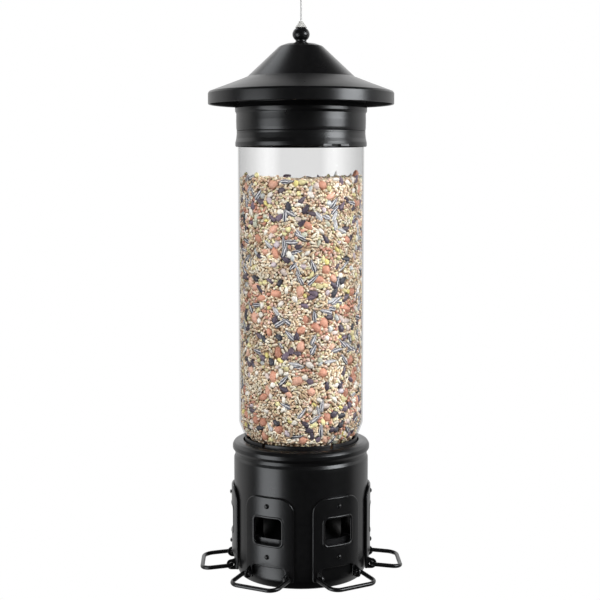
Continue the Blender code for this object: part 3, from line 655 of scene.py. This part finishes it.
def build_cable(steel, plated):
    """The taut cable, its ferrule and the loop that the feeder hangs by."""
    low = ANCHOR_TOP + 0.0003
    high = FERRULE_BOTTOM - 0.0003
    fine = [(0.0, 0.0, low + (high - low) * i / 340) for i in range(341)]
    cable = piece("cable", strand_mesh("cable", fine), "reservoir", "steel_cable", steel, "hanger_cable")
    strands = strand_mesh("loop", loop_points(72))
    loop = piece("loop", strands, "reservoir", "steel_cable", steel, "hanging_loop")
    bottom = (FERRULE_BOTTOM - BASE) / MM
    profile = rounded(
        [
            (0.0, bottom + 12.0), (2.5, bottom + 12.0, 0.5), (2.6, bottom + 8.6, 1.0),
            (2.05, bottom + 7.4, 1.0), (2.05, bottom + 4.6, 1.0), (2.6, bottom + 3.4, 1.0),
            (2.5, bottom, 0.5), (0.0, bottom),
        ],
        closed=False,
    )
    mesh = turned_mesh("ferrule", profile, FINE, False)
    ferrule = piece("ferrule", mesh, "reservoir", "bare_steel", plated, "cable_ferrule")


# ------------------------ roof


def build_roof(coat, pale):
    """Roof shell, collar, ball and bushing."""
    edge = ROOF_RADIUS
    outer = [
        (3.3, 510.0), (14.0, 509.9, 6.0), (20.4, 507.6, 5.0), (51.0, 478.9, 3.0), (68.0, 472.3, 30.0),
        (edge - 0.9, 465.2, 1.6), (edge, 463.4, 1.0), (edge, 453.7),
    ]
    inner = [
        (edge - 0.6, 453.0, 0.5), (edge - 1.5, 453.8, 0.4), (edge - 1.2, 463.0, 1.0),
        (edge - 2.0, 464.3, 1.0), (68.0, 471.0, 30.0), (50.5, 477.7, 3.0), (20.0, 506.2, 5.0),
        (14.0, 508.7, 6.0), (3.3, 508.8),
    ]
    roof = turned_mesh("roof", rounded(outer + inner, steps=6))
    piece("roof", roof, "roof", "black_powder_coat", coat, "roof_shell")
    collar = rounded(
        [
            (61.0, 428.3, 0.4), (61.35, 431.0, 2.0), (61.5, 438.0, 8.0), (61.35, 444.6, 1.2),
            (61.9, 445.4, 0.8), (62.5, 446.6, 0.8), (62.6, 449.6, 1.2), (61.6, 451.6, 1.2),
            (61.0, 454.0, 2.0), (61.0, 472.8, 0.4), (60.0, 473.2, 0.4), (60.2, 429.5),
            (55.8, 429.5, 0.4), (55.8, 421.2, 0.5), (57.0, 421.2, 0.5), (57.0, 428.3, 0.4),
        ],
        steps=5,
    )
    piece("collar", turned_mesh("collar", collar), "roof", "black_powder_coat", coat, "cap_collar")
    ball = [(r, 518.7 + 0.87 * z) for r, z in arc((0.0, 0.0), 8.15, 80, -50, 30)]
    profile = [(1.5, 525.3)] + ball
    profile += rounded([(5.2, 513.2), (5.1, 512.0, 0.8), (6.3, 511.0, 0.4), (6.2, 510.3)], False)[1:]
    profile += [(3.0, 510.3), (3.0, 502.0), (1.5, 502.0)]
    piece("ball", turned_mesh("ball", profile, 72), "roof", "black_powder_coat", coat, "finial")
    top = 525.7
    bushing = rounded([
        (1.15, top + 5.2, 0.2), (2.0, top + 5.0, 0.5), (2.4, top + 3.6, 1.0),
        (5.5, top - 0.5, 0.4), (5.2, top - 0.9, 0.2), (2.6, top + 0.5), (1.15, top + 0.5),
    ])
    piece("bushing", turned_mesh("bushing", bushing, FINE), "roof", "pale_plastic", pale, "finial_bushing")


# ------------------------ tube and its band


def build_tube(clear, coat):
    """The clear tube, and the flared band round its top."""
    shoulder = rounded(
        [
            (60.0, 300.0), (60.0, 149.6, 9.0), (56.5, 140.4, 12.0),
            (54.4, 136.0, 1.2), (51.8, 135.4, 0.8), (51.8, 114.0),
        ],
        False,
        10,
    )[1:-1]
    inner = rounded(
        [
            (50.6, 114.0), (50.6, 136.6, 1.0), (53.6, 137.0, 1.5),
            (55.5, 140.9, 12.0), (59.0, 149.8, 9.0), (59.0, 300.0),
        ],
        False,
        10,
    )[1:-1]
    profile = [(60.0, 425.2)] + shoulder + [(51.8, 114.0), (50.6, 114.0)] + inner + [(59.0, 425.2)]
    piece("tube", turned_mesh("tube", profile), "reservoir", "clear_plastic", clear, "seed_tube")
    band = rounded(
        [
            (61.1, 428.0, 0.3), (61.0, 425.8, 1.0), (61.5, 421.0, 6.0), (62.4, 417.4, 2.0),
            (62.4, 414.4, 0.8), (61.9, 413.5, 0.5), (60.3, 413.5, 0.3), (60.3, 425.5),
            (57.6, 425.5, 0.2), (57.6, 428.0, 0.2),
        ],
        steps=5,
    )
    mesh = turned_mesh("band", band)
    recess = prism_mesh(rounded_box(14.3, 408.0, 415.4, 0.8), 60.1, 70.0)
    recess.transform(Matrix.Rotation(math.radians(-59.2), 4, "Z"))
    piece("band", cut(mesh, [recess]), "reservoir", "black_powder_coat", coat, "top_band")


# ------------------------ shroud


def rivet_holes():
    """Cutters for the shell's rivet holes."""
    holes = []
    for height in RIVET_ROWS.values():
        spot = (SHELL_RADIUS * MM, 0.0, BASE + height * MM)
        bore = [(0.0, 5.0), (1.5, 5.0), (1.5, -5.0), (0.0, -5.0)]
        holes += spun_copies(turned_outwards("drill", bore, spot, 16))
    return holes


def build_shell(coat):
    """The round base shell and its pan."""
    outer = [
        (55.6, 131.3, 0.4), (56.0, 132.4, 0.6), (61.0, 132.1, 3.0), (64.6, 130.6, 3.0),
        (66.2, 127.6, 2.2), (66.2, 124.2, 1.6), (64.2, 121.4, 1.2), (63.6, 118.4, 1.8),
        (64.9, 115.4, 1.6), (65.0, 112.0, 2.0), (65.0, 21.0, 14.0), (63.9, 8.8, 12.0),
        (60.2, 1.6, 3.0), (58.9, 0.8, 0.4),
    ]
    inner = [
        (57.7, 1.0, 0.3), (59.2, 2.2, 2.0), (62.7, 9.2, 10.0), (63.8, 21.2, 12.0), (63.8, 112.0, 2.0),
        (63.7, 115.0, 1.6), (62.4, 118.4, 1.6), (63.0, 121.8, 1.2), (64.9, 124.6, 1.2),
        (64.9, 127.2, 1.6), (63.8, 129.6, 2.0), (60.8, 130.9, 2.0), (56.4, 131.1, 0.4),
    ]
    shell = turned_mesh("shell", rounded(outer + inner, steps=5))
    window = prism_mesh(rounded_box(PORT_HALF_WIDTH + 0.4, PORT_BOTTOM - 0.4, PORT_TOP + 0.4, 4.2), 57.0, 72.0)
    shell = cut(shell, spun_copies(window) + rivet_holes())
    piece("shell", shell, "shroud", "black_powder_coat", coat, "base_shell")
    pan = rounded([
        (4.2, 53.0), (17.2, 53.0, 1.4), (17.2, 1.2, 1.0), (56.0, 1.2, 0.6), (56.0, 9.0, 0.3),
        (57.2, 9.0, 0.3), (57.2, 0.0, 1.2), (16.0, 0.0, 1.2), (16.0, 51.8, 1.0), (4.2, 51.8),
    ])
    piece("pan", turned_mesh("pan", pan), "shroud", "black_powder_coat", coat, "base_pan")


def plate_outline():
    """A port plate laid flat: round shoulders, legs, and a notch between them."""
    half = 25.5
    top = 88.5
    corner = 14.0
    shoulder = arc((half - corner, top - corner), corner, 0, 90, 16)
    foot = rounded([(17.3, 30.0), (17.3, 9.0, 1.5), (half, 9.0, 2.5), (half, 40.0)], False)[1:-1]
    right = foot + shoulder
    left = [(-y, z) for y, z in right[::-1]]
    notch = arc((-13.8, 18.5), 3.5, 180, 90, 6) + arc((13.8, 18.5), 3.5, 90, 0, 6)
    return right + left + notch


def ear_mesh(side):
    """One ear of a plate, bent out of its leg, with a hole for the perch."""
    nose = arc((HINGE_RADIUS, HINGE_HEIGHT), 5.0, -90, 90, 14)
    outline = [(62.6, 8.5), *nose, (62.6, 20.5)]
    hole = arc((HINGE_RADIUS, HINGE_HEIGHT), 2.3, 0, 345, 23)
    bm = flat_sheet("ear", (outline, hole), 1.4, 0.3, 2)
    for v in bm.verts:
        v.co = Vector((v.co.x * MM, side * (20.9 + v.co.z) * MM, BASE + v.co.y * MM))
    return mesh_from(bm, "ear", 50)


def lip_mesh():
    """The rolled edge round a window."""
    line = rounded_box(PORT_HALF_WIDTH + 0.7, PORT_BOTTOM - 0.7, PORT_TOP + 0.7, 4.6, 10)
    dense = []
    for (y0, z0), (y1, z1) in zip(line, line[1:] + line[:1]):
        steps = max(1, round(math.hypot(y1 - y0, z1 - z0) / 1.2))
        dense += [(y0 + (y1 - y0) * k / steps, z0 + (z1 - z0) * k / steps) for k in range(steps)]
    points = []
    for y, z in dense:
        angle = math.asin(y / PLATE_RADIUS)
        r = (PLATE_RADIUS - 0.9) * MM
        points.append((r * math.cos(angle), r * math.sin(angle), BASE + z * MM))
    return tube_mesh("lip", points, LIP_RADIUS, 16, closed=True)


def build_ports(coat):
    """A riveted plate at each port."""
    loops = [plate_outline(), rounded_box(PORT_HALF_WIDTH, PORT_BOTTOM, PORT_TOP, 4.0, 10)]
    loops += [arc((0.0, height), 1.5, 0, 330, 11) for height in RIVET_ROWS.values()]
    sheet = bent_sheet("plate", loops, PLATE_RADIUS - PLATE_SHEET, PLATE_SHEET, 0.95)
    plate = joined("plate", [sheet, lip_mesh(), ear_mesh(1), ear_mesh(-1)])
    finish_mesh(plate, 50)
    dome = arc((0.0, -1.35), 2.75, 90, 33, 8)
    profile = [(0.0, 1.4)] + dome[1:]
    profile += [(2.3, 0.1), (2.2, 0.0), (1.2, 0.0), (1.2, -4.6), (2.0, -4.6), (2.0, -5.5), (0.0, -5.5)]
    for i in range(PORTS):
        turn = Matrix.Rotation(math.tau * i / PORTS, 4, "Z")
        copy = plate.copy()
        copy.transform(turn)
        piece(f"plate_{i + 1}", copy, "shroud", "black_powder_coat", coat, f"port_plate_{i + 1}")
        for row, height in RIVET_ROWS.items():
            rivet = turned_outwards("rivet", profile, (RIVET_SEAT, 0.0, BASE + height * MM), 24)
            rivet.transform(turn)
            name = f"{row}_rivet_{i + 1}"
            piece(f"{row}_dome_{i + 1}", rivet, "shroud", "black_powder_coat", coat, name)


# ------------------------ perches


def perch_points():
    """A flat U of wire in the port's own axes, sloped down round its hinge."""
    reach = 96.0 - HINGE_RADIUS
    half_width = 24.3
    half = [(0.0, 18.0), (0.0, 20.0)]
    half += arc((2.6, half_width - 2.6), 2.6, 180, 90, 8)
    half += [(8.0, half_width), (14.0, half_width)]
    half += arc((reach - 9.0, half_width - 9.0), 9.0, 90, 0, 14)
    half += [(reach, 10.0), (reach, 4.0)]
    outline = half + [(x, -y) for x, y in half[::-1]]
    slope = Matrix.Rotation(math.radians(6.0), 4, "Y")
    origin = Vector((HINGE_RADIUS * MM, 0.0, BASE + HINGE_HEIGHT * MM))
    return [origin + slope @ Vector((x * MM, y * MM, 0.0)) for x, y in outline]


def build_perches(coat):
    """Six coated wires."""
    wire = tube_mesh("perch", perch_points(), PERCH_WIRE, 24)
    for i in range(PORTS):
        copy = wire.copy()
        copy.transform(Matrix.Rotation(math.tau * i / PORTS, 4, "Z"))
        piece(f"perch_wire_{i + 1}", copy, f"perch_{i + 1}", "black_powder_coat", coat, f"perch_{i + 1}")


# ------------------------ hopper


def build_hopper(plastic):
    """The slotted ring, the ported wall and the cone, all inside."""
    ring = rounded([
        (54.6, 135.2, 0.6), (54.6, 112.0, 0.3), (52.3, 112.0, 0.3), (52.3, 135.2, 0.5),
    ])
    entry = prism_mesh(rounded_box(1.8, 117.4, 139.0, 0.5), 50.0, 58.0)
    entries = spun_copies(entry, RING_SLOTS, RING_SLOT_ANGLE)
    ring = cut(turned_mesh("ring", ring), entries)
    piece("ring", ring, "hopper", "black_plastic", plastic, "neck_ring")
    wall = turned_mesh("wall", [(53.4, 111.7), (53.4, 36.0), (52.0, 36.0), (52.0, 111.7)])
    port = prism_mesh(rounded_box(13.5, 44.5, 67.5, 3.5), 40.0, 60.0)
    piece("wall", cut(wall, spun_copies(port)), "hopper", "black_plastic", plastic, "hopper_wall")
    cone = rounded([
        (3.4, 82.0), (7.0, 82.0, 0.8), (8.0, 79.5, 1.0), (51.6, 39.5, 1.0), (51.6, 36.0),
        (49.6, 36.0), (49.6, 38.5, 1.0), (7.0, 77.3), (7.0, 66.0), (3.4, 66.0),
    ])
    piece("cone", turned_mesh("cone", cone), "hopper", "black_plastic", plastic, "seed_cone")


def build_spring(plated):
    """The return spring round the post."""
    wire, low, high, turns = 0.8, 8.3, 51.5, 6
    steps = turns * 24
    points = []
    for i in range(steps + 1):
        share = i / steps
        a = math.tau * turns * share
        rise = share - 0.9 * math.sin(math.tau * share) / math.tau  # the end turns lie closer together
        z = low + wire + (high - low - 2 * wire) * rise
        points.append((9.0 * MM * math.cos(a), 9.0 * MM * math.sin(a), BASE + z * MM))
    mesh = tube_mesh("spring", points, wire * MM, 12)
    spring = piece("spring", mesh, "hopper", "bare_steel", plated, "return_spring")
    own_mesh(spring)


# ------------------------ seed


SEED_TOP = 384.0
SEED_LOW = 134.0
WALL = TUBE_RADIUS - 1.1  # where the seed touches the tube
rng = np.random.default_rng(7)


def wall_line():
    """The inside of the tube from its neck up: distance along it, radius, height and outward direction."""
    spots = rounded(
        [
            (50.4, SEED_LOW), (50.4, 136.8, 1.0), (53.5, 137.2, 1.5),
            (55.4, 141.0, 12.0), (58.9, 149.9, 9.0), (58.9, 156.0),
        ],
        False,
        6,
    )
    for z in np.linspace(158.0, SEED_TOP + 8, 60):
        spots.append((WALL, z))
    line = np.array(spots)
    step = np.linalg.norm(np.diff(line, axis=0), axis=1)
    along = np.concatenate([[0.0], np.cumsum(step)])
    slope = np.gradient(line, along, axis=0)
    slope /= np.linalg.norm(slope, axis=1)[:, None]
    return along, line[:, 0], line[:, 1], slope


ALONG, LINE_R, LINE_Z, SLOPE = wall_line()
ROUND_LENGTH = math.tau * WALL


class Layer:
    """What is already taken on the unrolled wall, as a grid, so that seeds lie side by side."""

    CELL = 0.4

    def __init__(self):
        self.across = int(ROUND_LENGTH / self.CELL)
        self.up = int(ALONG[-1] / self.CELL) + 1
        self.taken = np.zeros((self.across, self.up), bool)

    def cells(self, s, t, long, wide, turn):
        """The cells under a seed that lies at (s, t), as two rows of numbers."""
        reach = int(long / self.CELL) + 2
        i0, j0 = int(s / self.CELL), int(t / self.CELL)
        near = np.arange(-reach, reach + 1)
        i, j = np.meshgrid(i0 + near, j0 + near, indexing="ij")
        x = (i + 0.5) * self.CELL - s
        y = (j + 0.5) * self.CELL - t
        u = x * math.cos(turn) + y * math.sin(turn)
        v = -x * math.sin(turn) + y * math.cos(turn)
        inside = (u / long) ** 2 + (v / wide) ** 2 < 1
        inside &= (j >= 0) & (j < self.up)
        return i[inside] % self.across, j[inside]

    def place(self, s, t, long, wide, turn, allow):
        """Take a seed's cells, unless more than the allowed share of them is taken."""
        i, j = self.cells(s, t, long, wide, turn)
        if len(i) == 0 or self.taken[i, j].mean() > allow:
            return False
        self.taken[i, j] = True
        return True


def seed_height(angle):
    """The heap's uneven top edge against the wall."""
    slow = 1.5 * np.sin(2 * angle + 0.7) + 0.9 * np.sin(5 * angle)
    return SEED_TOP + slow + 0.9 * np.sin(13 * angle + 2) + 0.5 * np.sin(31 * angle)


def wall_frames(s, t, depth):
    """Position, and the three directions round, up and out, at places on the unrolled wall."""
    angle = s / WALL
    r = np.interp(t, ALONG, LINE_R)
    z = np.interp(t, ALONG, LINE_Z)
    ur = np.interp(t, ALONG, SLOPE[:, 0])
    uz = np.interp(t, ALONG, SLOPE[:, 1])
    length = np.hypot(ur, uz)
    ur, uz = ur / length, uz / length
    c, sn = np.cos(angle), np.sin(angle)
    zero = np.zeros_like(c)
    side = np.stack([-sn, c, zero], 1)
    up = np.stack([ur * c, ur * sn, uz], 1)
    out = np.stack([uz * c, uz * sn, -ur], 1)
    spot = np.stack([r * c, r * sn, z], 1) - out * depth[:, None]
    return spot, side, up, out


def seed_rows(spot, side, up, out, turn, tilt, sizes):
    """Each seed's matrix: its long, wide and thick axes, and its centre."""
    c, s = np.cos(turn)[:, None], np.sin(turn)[:, None]
    long = c * side + s * up
    wide = -s * side + c * up
    ct, st = np.cos(tilt)[:, None], np.sin(tilt)[:, None]
    long2 = ct * long + st * out
    out2 = -st * long + ct * out
    axes = np.stack([long2 * sizes[:, :1], wide * sizes[:, 1:2], out2 * sizes[:, 2:3]], 2)
    return axes, spot


def template(level):
    """A unit ball's corners and triangles."""
    bm = bmesh.new()
    bmesh.ops.create_icosphere(bm, subdivisions=level, radius=1.0)
    points = np.array([v.co for v in bm.verts])
    faces = np.array([[v.index for v in f.verts] for f in bm.faces])
    bm.free()
    return points, faces


def long_template(around, rings):
    """A unit ball with its poles on X, its corners, triangles and each triangle corner's UV."""
    points = [(-1.0, 0.0, 0.0)]
    for i in range(1, rings):
        a = math.pi * i / rings
        for k in range(around):
            b = math.tau * k / around
            points.append((-math.cos(a), math.sin(a) * math.cos(b), math.sin(a) * math.sin(b)))
    points.append((1.0, 0.0, 0.0))
    last = len(points) - 1
    faces, uvs = [], []
    for k in range(around):
        k2 = (k + 1) % around
        u0, u1 = k / around, (k + 1) / around
        faces.append((0, 1 + k2, 1 + k))
        uvs.append(((u0, 0.0), (u1, 1 / rings), (u0, 1 / rings)))
        base = 1 + (rings - 2) * around
        faces.append((last, base + k, base + k2))
        uvs.append(((u0, 1.0), (u0, 1 - 1 / rings), (u1, 1 - 1 / rings)))
        for i in range(rings - 2):
            a, b = 1 + i * around, 1 + (i + 1) * around
            v0, v1 = (i + 1) / rings, (i + 2) / rings
            faces.append((a + k, a + k2, b + k2))
            uvs.append(((u0, v0), (u1, v0), (u1, v1)))
            faces.append((a + k, b + k2, b + k))
            uvs.append(((u0, v0), (u1, v1), (u0, v1)))
    return np.array(points), np.array(faces), np.array(uvs)


def seeds_mesh(name, shape, axes, spots, uvs=None):
    """All the seeds of one kind as one mesh. Shape is the template's (corners, triangles)."""
    points, faces = shape
    count = len(spots)
    every = np.einsum("nij,kj->nki", axes, points) + spots[:, None, :]
    every = every.reshape(-1, 3) * MM
    every[:, 2] += BASE
    triangles = (faces[None] + (np.arange(count) * len(points))[:, None, None]).reshape(-1, 3)
    mesh = bpy.data.meshes.new(name)
    mesh.vertices.add(len(every))
    mesh.vertices.foreach_set("co", every.astype(np.float32).ravel())
    mesh.loops.add(len(triangles) * 3)
    mesh.loops.foreach_set("vertex_index", triangles.astype(np.int32).ravel())
    mesh.polygons.add(len(triangles))
    mesh.polygons.foreach_set("loop_start", np.arange(0, len(triangles) * 3, 3, dtype=np.int32))
    if uvs is not None:
        layer = mesh.uv_layers.new(name="hull")
        layer.data.foreach_set("uv", np.tile(uvs.reshape(-1), count).astype(np.float32))
    mesh.update(calc_edges=True)
    mesh.validate()
    mesh.shade_smooth()
    return mesh


def scattered(layer, count, sizes, spread, allow, clumps=0, above=0.0):
    """Places for larger seeds, laid at random where there is room, or in clumps. Returns rows of
    (s, t, turn, sizes). Above is how far their middles may lie over the heap's edge."""
    found = []
    top = np.interp(SEED_TOP, LINE_Z, ALONG)
    centres = rng.uniform((0, 0), (ROUND_LENGTH, top), (max(clumps, 1), 2))
    for _ in range(count):
        scale = 1 + spread * rng.uniform(-1, 1, 3)
        size = np.array(sizes) * scale
        for _ in range(40):
            s, t = rng.uniform(0, ROUND_LENGTH), rng.uniform(2.0, top + 4)
            if clumps:
                s, t = centres[rng.integers(clumps)] + rng.normal(0, 6.0, 2)
            s %= ROUND_LENGTH
            turn = rng.uniform(0, math.pi)
            if t < 2.0 or t > top + seed_height(s / WALL) - SEED_TOP + above:
                continue
            if layer.place(s, t, size[0], size[1], turn, allow):
                found.append((s, t, turn, *size))
                break
    return np.array(found)


def packed(layer, pitch, sizes, spread, allow):
    """Places for small grains, on a shaken close-packed grid, where nothing larger lies."""
    rows = []
    top = np.interp(SEED_TOP, LINE_Z, ALONG)
    lift = pitch * 0.866
    for j in range(int((top + 4) / lift)):
        for i in range(int(ROUND_LENGTH / pitch)):
            s = (i + 0.5 * (j % 2)) * pitch + rng.normal(0, 0.22) * pitch
            t = j * lift + rng.normal(0, 0.22) * pitch
            size = np.array(sizes) * (1 + spread * rng.uniform(-1, 1, 3))
            turn = rng.uniform(0, math.pi)
            s %= ROUND_LENGTH
            if t > top + seed_height(s / WALL) - SEED_TOP or t < 0:
                continue
            if layer.place(s, t, size[0] * 0.8, size[1] * 0.8, turn, allow):
                rows.append((s, t, turn, *size))
    return np.array(rows)


def against_wall(rows, depth=0.0):
    """Seed matrices for places on the wall, each seed close to it. Wide seeds sink in by the wall's curve."""
    s, t, turn = rows[:, 0], rows[:, 1], rows[:, 2]
    sizes = rows[:, 3:6]
    gap, tilt = 0.25, 0.15
    lean = rng.normal(0, tilt, len(rows))
    across = np.abs(np.cos(turn)) * sizes[:, 0]
    sunk = sizes[:, 2] + np.abs(np.sin(lean)) * sizes[:, 0] * 0.8 + across**2 / (2 * WALL) + gap + depth
    spot, side, up, out = wall_frames(s, t, sunk)
    return seed_rows(spot, side, up, out, turn, lean, sizes)


def top_rows(pitch, sizes, spread):
    """Grains over the heap's top, on a shaken grid."""
    rows = []
    radius = 56.0
    steps = int(2 * radius / pitch)
    for i in range(steps):
        for j in range(steps):
            x = -radius + (i + 0.5 * (j % 2)) * pitch + rng.normal(0, 0.25) * pitch
            y = -radius + j * pitch + rng.normal(0, 0.25) * pitch
            if math.hypot(x, y) < radius - sizes[0]:
                turn = rng.uniform(0, math.pi)
                size = np.array(sizes) * (1 + spread * rng.uniform(-1, 1, 3))
                rows.append((x, y, turn, *size))
    return np.array(rows)


def on_top(rows):
    """Seed matrices for places on the heap's top."""
    x, y, turn = rows[:, 0], rows[:, 1], rows[:, 2]
    count = len(rows)
    angle = np.arctan2(y, x)
    share = np.clip(np.hypot(x, y) / WALL, 0, 1)
    z = SEED_TOP + (seed_height(angle) - SEED_TOP) * share - 1.5
    z += rng.normal(0, 0.4, count)
    spot = np.stack([x, y, z], 1)
    side = np.tile([1.0, 0.0, 0.0], (count, 1))
    up = np.tile([0.0, 1.0, 0.0], (count, 1))
    out = np.tile([0.0, 0.0, 1.0], (count, 1))
    tilt = 0.4
    return seed_rows(spot, side, up, out, turn, rng.normal(0, tilt, count), rows[:, 3:6])


def build_seed():
    """The seed mix: large kinds first, then small grains in what is left, two layers deep, round a core."""
    first, second = Layer(), Layer()
    cream = tones(
        (0.0, 250, 238, 212), (0.16, 238, 216, 186), (0.32, 252, 246, 230), (0.46, 228, 200, 172),
        (0.56, 240, 234, 190), (0.66, 246, 230, 206), (0.76, 238, 206, 190), (0.85, 206, 176, 148),
        (0.93, 190, 158, 130),
    )
    straw = tones((0.0, 250, 238, 214), (0.35, 232, 208, 174), (0.6, 252, 246, 228), (0.85, 206, 178, 150))
    brick = tones((0.0, 222, 168, 146), (0.4, 236, 196, 178), (0.7, 206, 150, 130), (0.88, 242, 212, 200))
    skin = tones((0.0, 220, 162, 138), (0.35, 230, 180, 158), (0.65, 200, 144, 122), (0.85, 236, 194, 172))
    gold = tones((0.0, 240, 228, 150), (0.3, 234, 228, 176), (0.6, 248, 240, 184), (0.8, 222, 212, 164))
    milky = tones(
        (0.0, 248, 244, 234), (0.3, 214, 218, 200), (0.45, 252, 248, 242), (0.66, 228, 214, 208),
        (0.8, 204, 210, 212), (0.92, 212, 200, 208),
    )
    ink = tones((0.0, 84, 76, 88), (0.3, 104, 94, 104), (0.5, 70, 70, 78), (0.75, 122, 108, 124))
    millet = grain_finish("millet", cream, 0.42)
    chaff = grain_finish("long_grain", straw, 0.5)
    ruddy = grain_finish("red_grain", brick, 0.42)
    nut = grain_finish("peanut", skin, 0.5, 700.0, 0.0003)
    corn = grain_finish("cracked_corn", gold, 0.45)
    pulse = grain_finish("pale_seed", milky, 0.42)
    dark_hull = grain_finish("black_sunflower", ink, 0.4, 1200.0, 0.0002)
    shades = srgb(72, 72, 82), srgb(112, 110, 116), srgb(160, 160, 162), srgb(206, 206, 208)
    grey = striped_finish("striped_sunflower", *shades, 0.46)
    hull = long_template(14, 10)
    hull_shape = (shaped_hull(hull[0]), hull[1])
    egg = template(3)
    ball = template(2)
    grain = template(1)

    def add(name, rows, shape, finish, uvs=None, **where):
        axes, spots = against_wall(rows, **where)
        mesh = seeds_mesh(name, shape, axes, spots, uvs)
        piece(name, mesh, "reservoir", None, finish)

    nut_shape = (lumpy(egg[0], 0.07), egg[1])
    chip_shape = (lumpy(ball[0], 0.22), ball[1])
    red_shape = (lumpy(ball[0], 0.05), ball[1])
    add("peanuts", scattered(first, 150, (5.4, 4.1, 3.6), 0.18, 0.1), nut_shape, nut)
    single = scattered(first, 90, (6.4, 2.3, 1.7), 0.16, 0.2, above=1.0)
    heaped = scattered(first, 130, (6.4, 2.3, 1.7), 0.16, 0.3, clumps=44)
    add("striped_sunflower", np.concatenate([single, heaped]), hull_shape, grey, hull[2])
    black = scattered(first, 220, (4.6, 2.7, 2.0), 0.18, 0.25, above=2.0)
    add("black_sunflower", black, hull_shape, dark_hull, hull[2])
    add("pale_seeds", scattered(first, 260, (3.5, 2.6, 1.9), 0.25, 0.28), chip_shape, pulse)
    add("cracked_corn", scattered(first, 140, (2.9, 2.4, 1.9), 0.3, 0.28, above=1.0), chip_shape, corn)
    add("red_grains", scattered(first, 420, (1.8, 1.55, 1.4), 0.2, 0.2, clumps=34), red_shape, ruddy)
    add("long_grains", scattered(first, 1100, (3.2, 1.1, 1.0), 0.2, 0.25, clumps=110), ball, chaff)
    add("millet_front", packed(first, 2.75, (1.65, 1.4, 1.2), 0.2, 0.4), grain, millet)
    add("millet_behind", packed(second, 3.3, (2.0, 1.7, 1.4), 0.2, 0.5), grain, millet, depth=1.7)
    axes, spots = on_top(top_rows(2.7, (1.65, 1.4, 1.2), 0.2))
    piece("millet_top", seeds_mesh("millet_top", grain, axes, spots), "reservoir", None, millet)
    # a solid core behind the grains, coloured in painted shade
    core = rounded(
        [
            (0.0, SEED_TOP - 2.5), (50.0, SEED_TOP - 3.5, 3.0), (55.0, SEED_TOP - 6.5, 2.0),
            (55.0, 150.0, 8.0), (47.0, 134.0, 3.0), (47.0, 120.0), (0.0, 120.0),
        ],
        False,
    )
    piece("seed_core_painted_shade", turned_mesh("seed_core_painted_shade", core, 96, False), "reservoir", None, painted_shade_core())


def painted_shade_core():
    """The seed behind the front layers, in painted shade: a darker tan than the front seeds, darkest towards the
    edges of small cells, where grains would meet.
    """
    m = Nodes("seed_core_painted_shade")
    place = m.add("ShaderNodeTexCoord").outputs["Object"]
    cells = m.add("ShaderNodeTexVoronoi", {"Vector": place, "Scale": 420.0})
    # painted shade between grains: each cell light in its middle and darker towards its edges
    colour = m.ramp(cells.outputs["Distance"], tones((0.0, 196, 166, 130), (0.6, 120, 94, 70)))
    m.set(Base_Color=colour, Roughness=0.7)
    m.bump(cells.outputs["Distance"], -0.001, 0.8)
    return m.material


def shaped_hull(points):
    """A sunflower hull: pointed at one end, broad at the other."""
    shaped = points.copy()
    taper = 1.0 - 0.42 * np.clip(points[:, 0], -1, 1)
    shaped[:, 1] *= taper
    shaped[:, 2] *= 0.5 + 0.5 * taper
    shaped[:, 0] += 0.12 * np.clip(points[:, 0], 0, 1) ** 3
    return shaped


def lumpy(points, amount):
    """A ball with an uneven surface."""
    waves = np.sin(points @ np.array([2.3, 1.1, 3.1])) + np.sin(points @ np.array([-1.7, 3.3, 0.6]) + 1.0)
    return points * (1 + amount * waves / 2)[:, None]


# ------------------------ everything together


def finish_inside(plastic, plated, coat):
    """The small inner nodes keep their CAD shape and take a material."""
    nodes = frame["nodes"]
    for name in ["cross_bar", "cable_anchor", "finial_nut", "centre_post", "hub_nut", "spring_seat", "post_nut"]:
        paint(nodes[name].data, plated)
    paint(nodes["stop_collar"].data, coat)
    for i in range(PORTS):
        paint(nodes[f"seed_tray_{i + 1}"].data, plastic)


def main():
    """Build the scene."""
    bpy.context.scene.view_settings.view_transform = "Standard"
    coat = powder_coat()
    plastic = black_plastic()
    pale = pale_plastic()
    plated = plated_steel()
    place_camera()
    build_cable(cable_steel(), plated)
    place_world()
    place_floor()
    cool = (0.94, 0.97, 1.0)
    softbox("left_box", -55, 0, 1.6, (1.05, 1.83), 23, -0.385, True, cool)
    softbox("right_box", 63, 0, 1.6, (0.9, 0.72), 22, 0.74, True, cool)
    softbox("back_box", -140, 50, 1.6, (0.7, 0.6), 2.2, 0.48, True, cool)
    softbox("left_fill", -58, 8, 2.0, (0.9, 1.2), 34, 0.25, False)
    softbox("right_fill", 60, 12, 2.0, (0.9, 1.2), 45, 0.25, False)
    softbox("key", 8, 42, 2.0, (0.5, 0.5), 32, 0.25, False)
    build_roof(coat, pale)
    build_tube(clear_plastic(), coat)
    build_shell(coat)
    build_ports(coat)
    build_perches(coat)
    build_hopper(plastic)
    build_spring(plated)
    build_seed()
    finish_inside(plastic, plated, coat)


main()
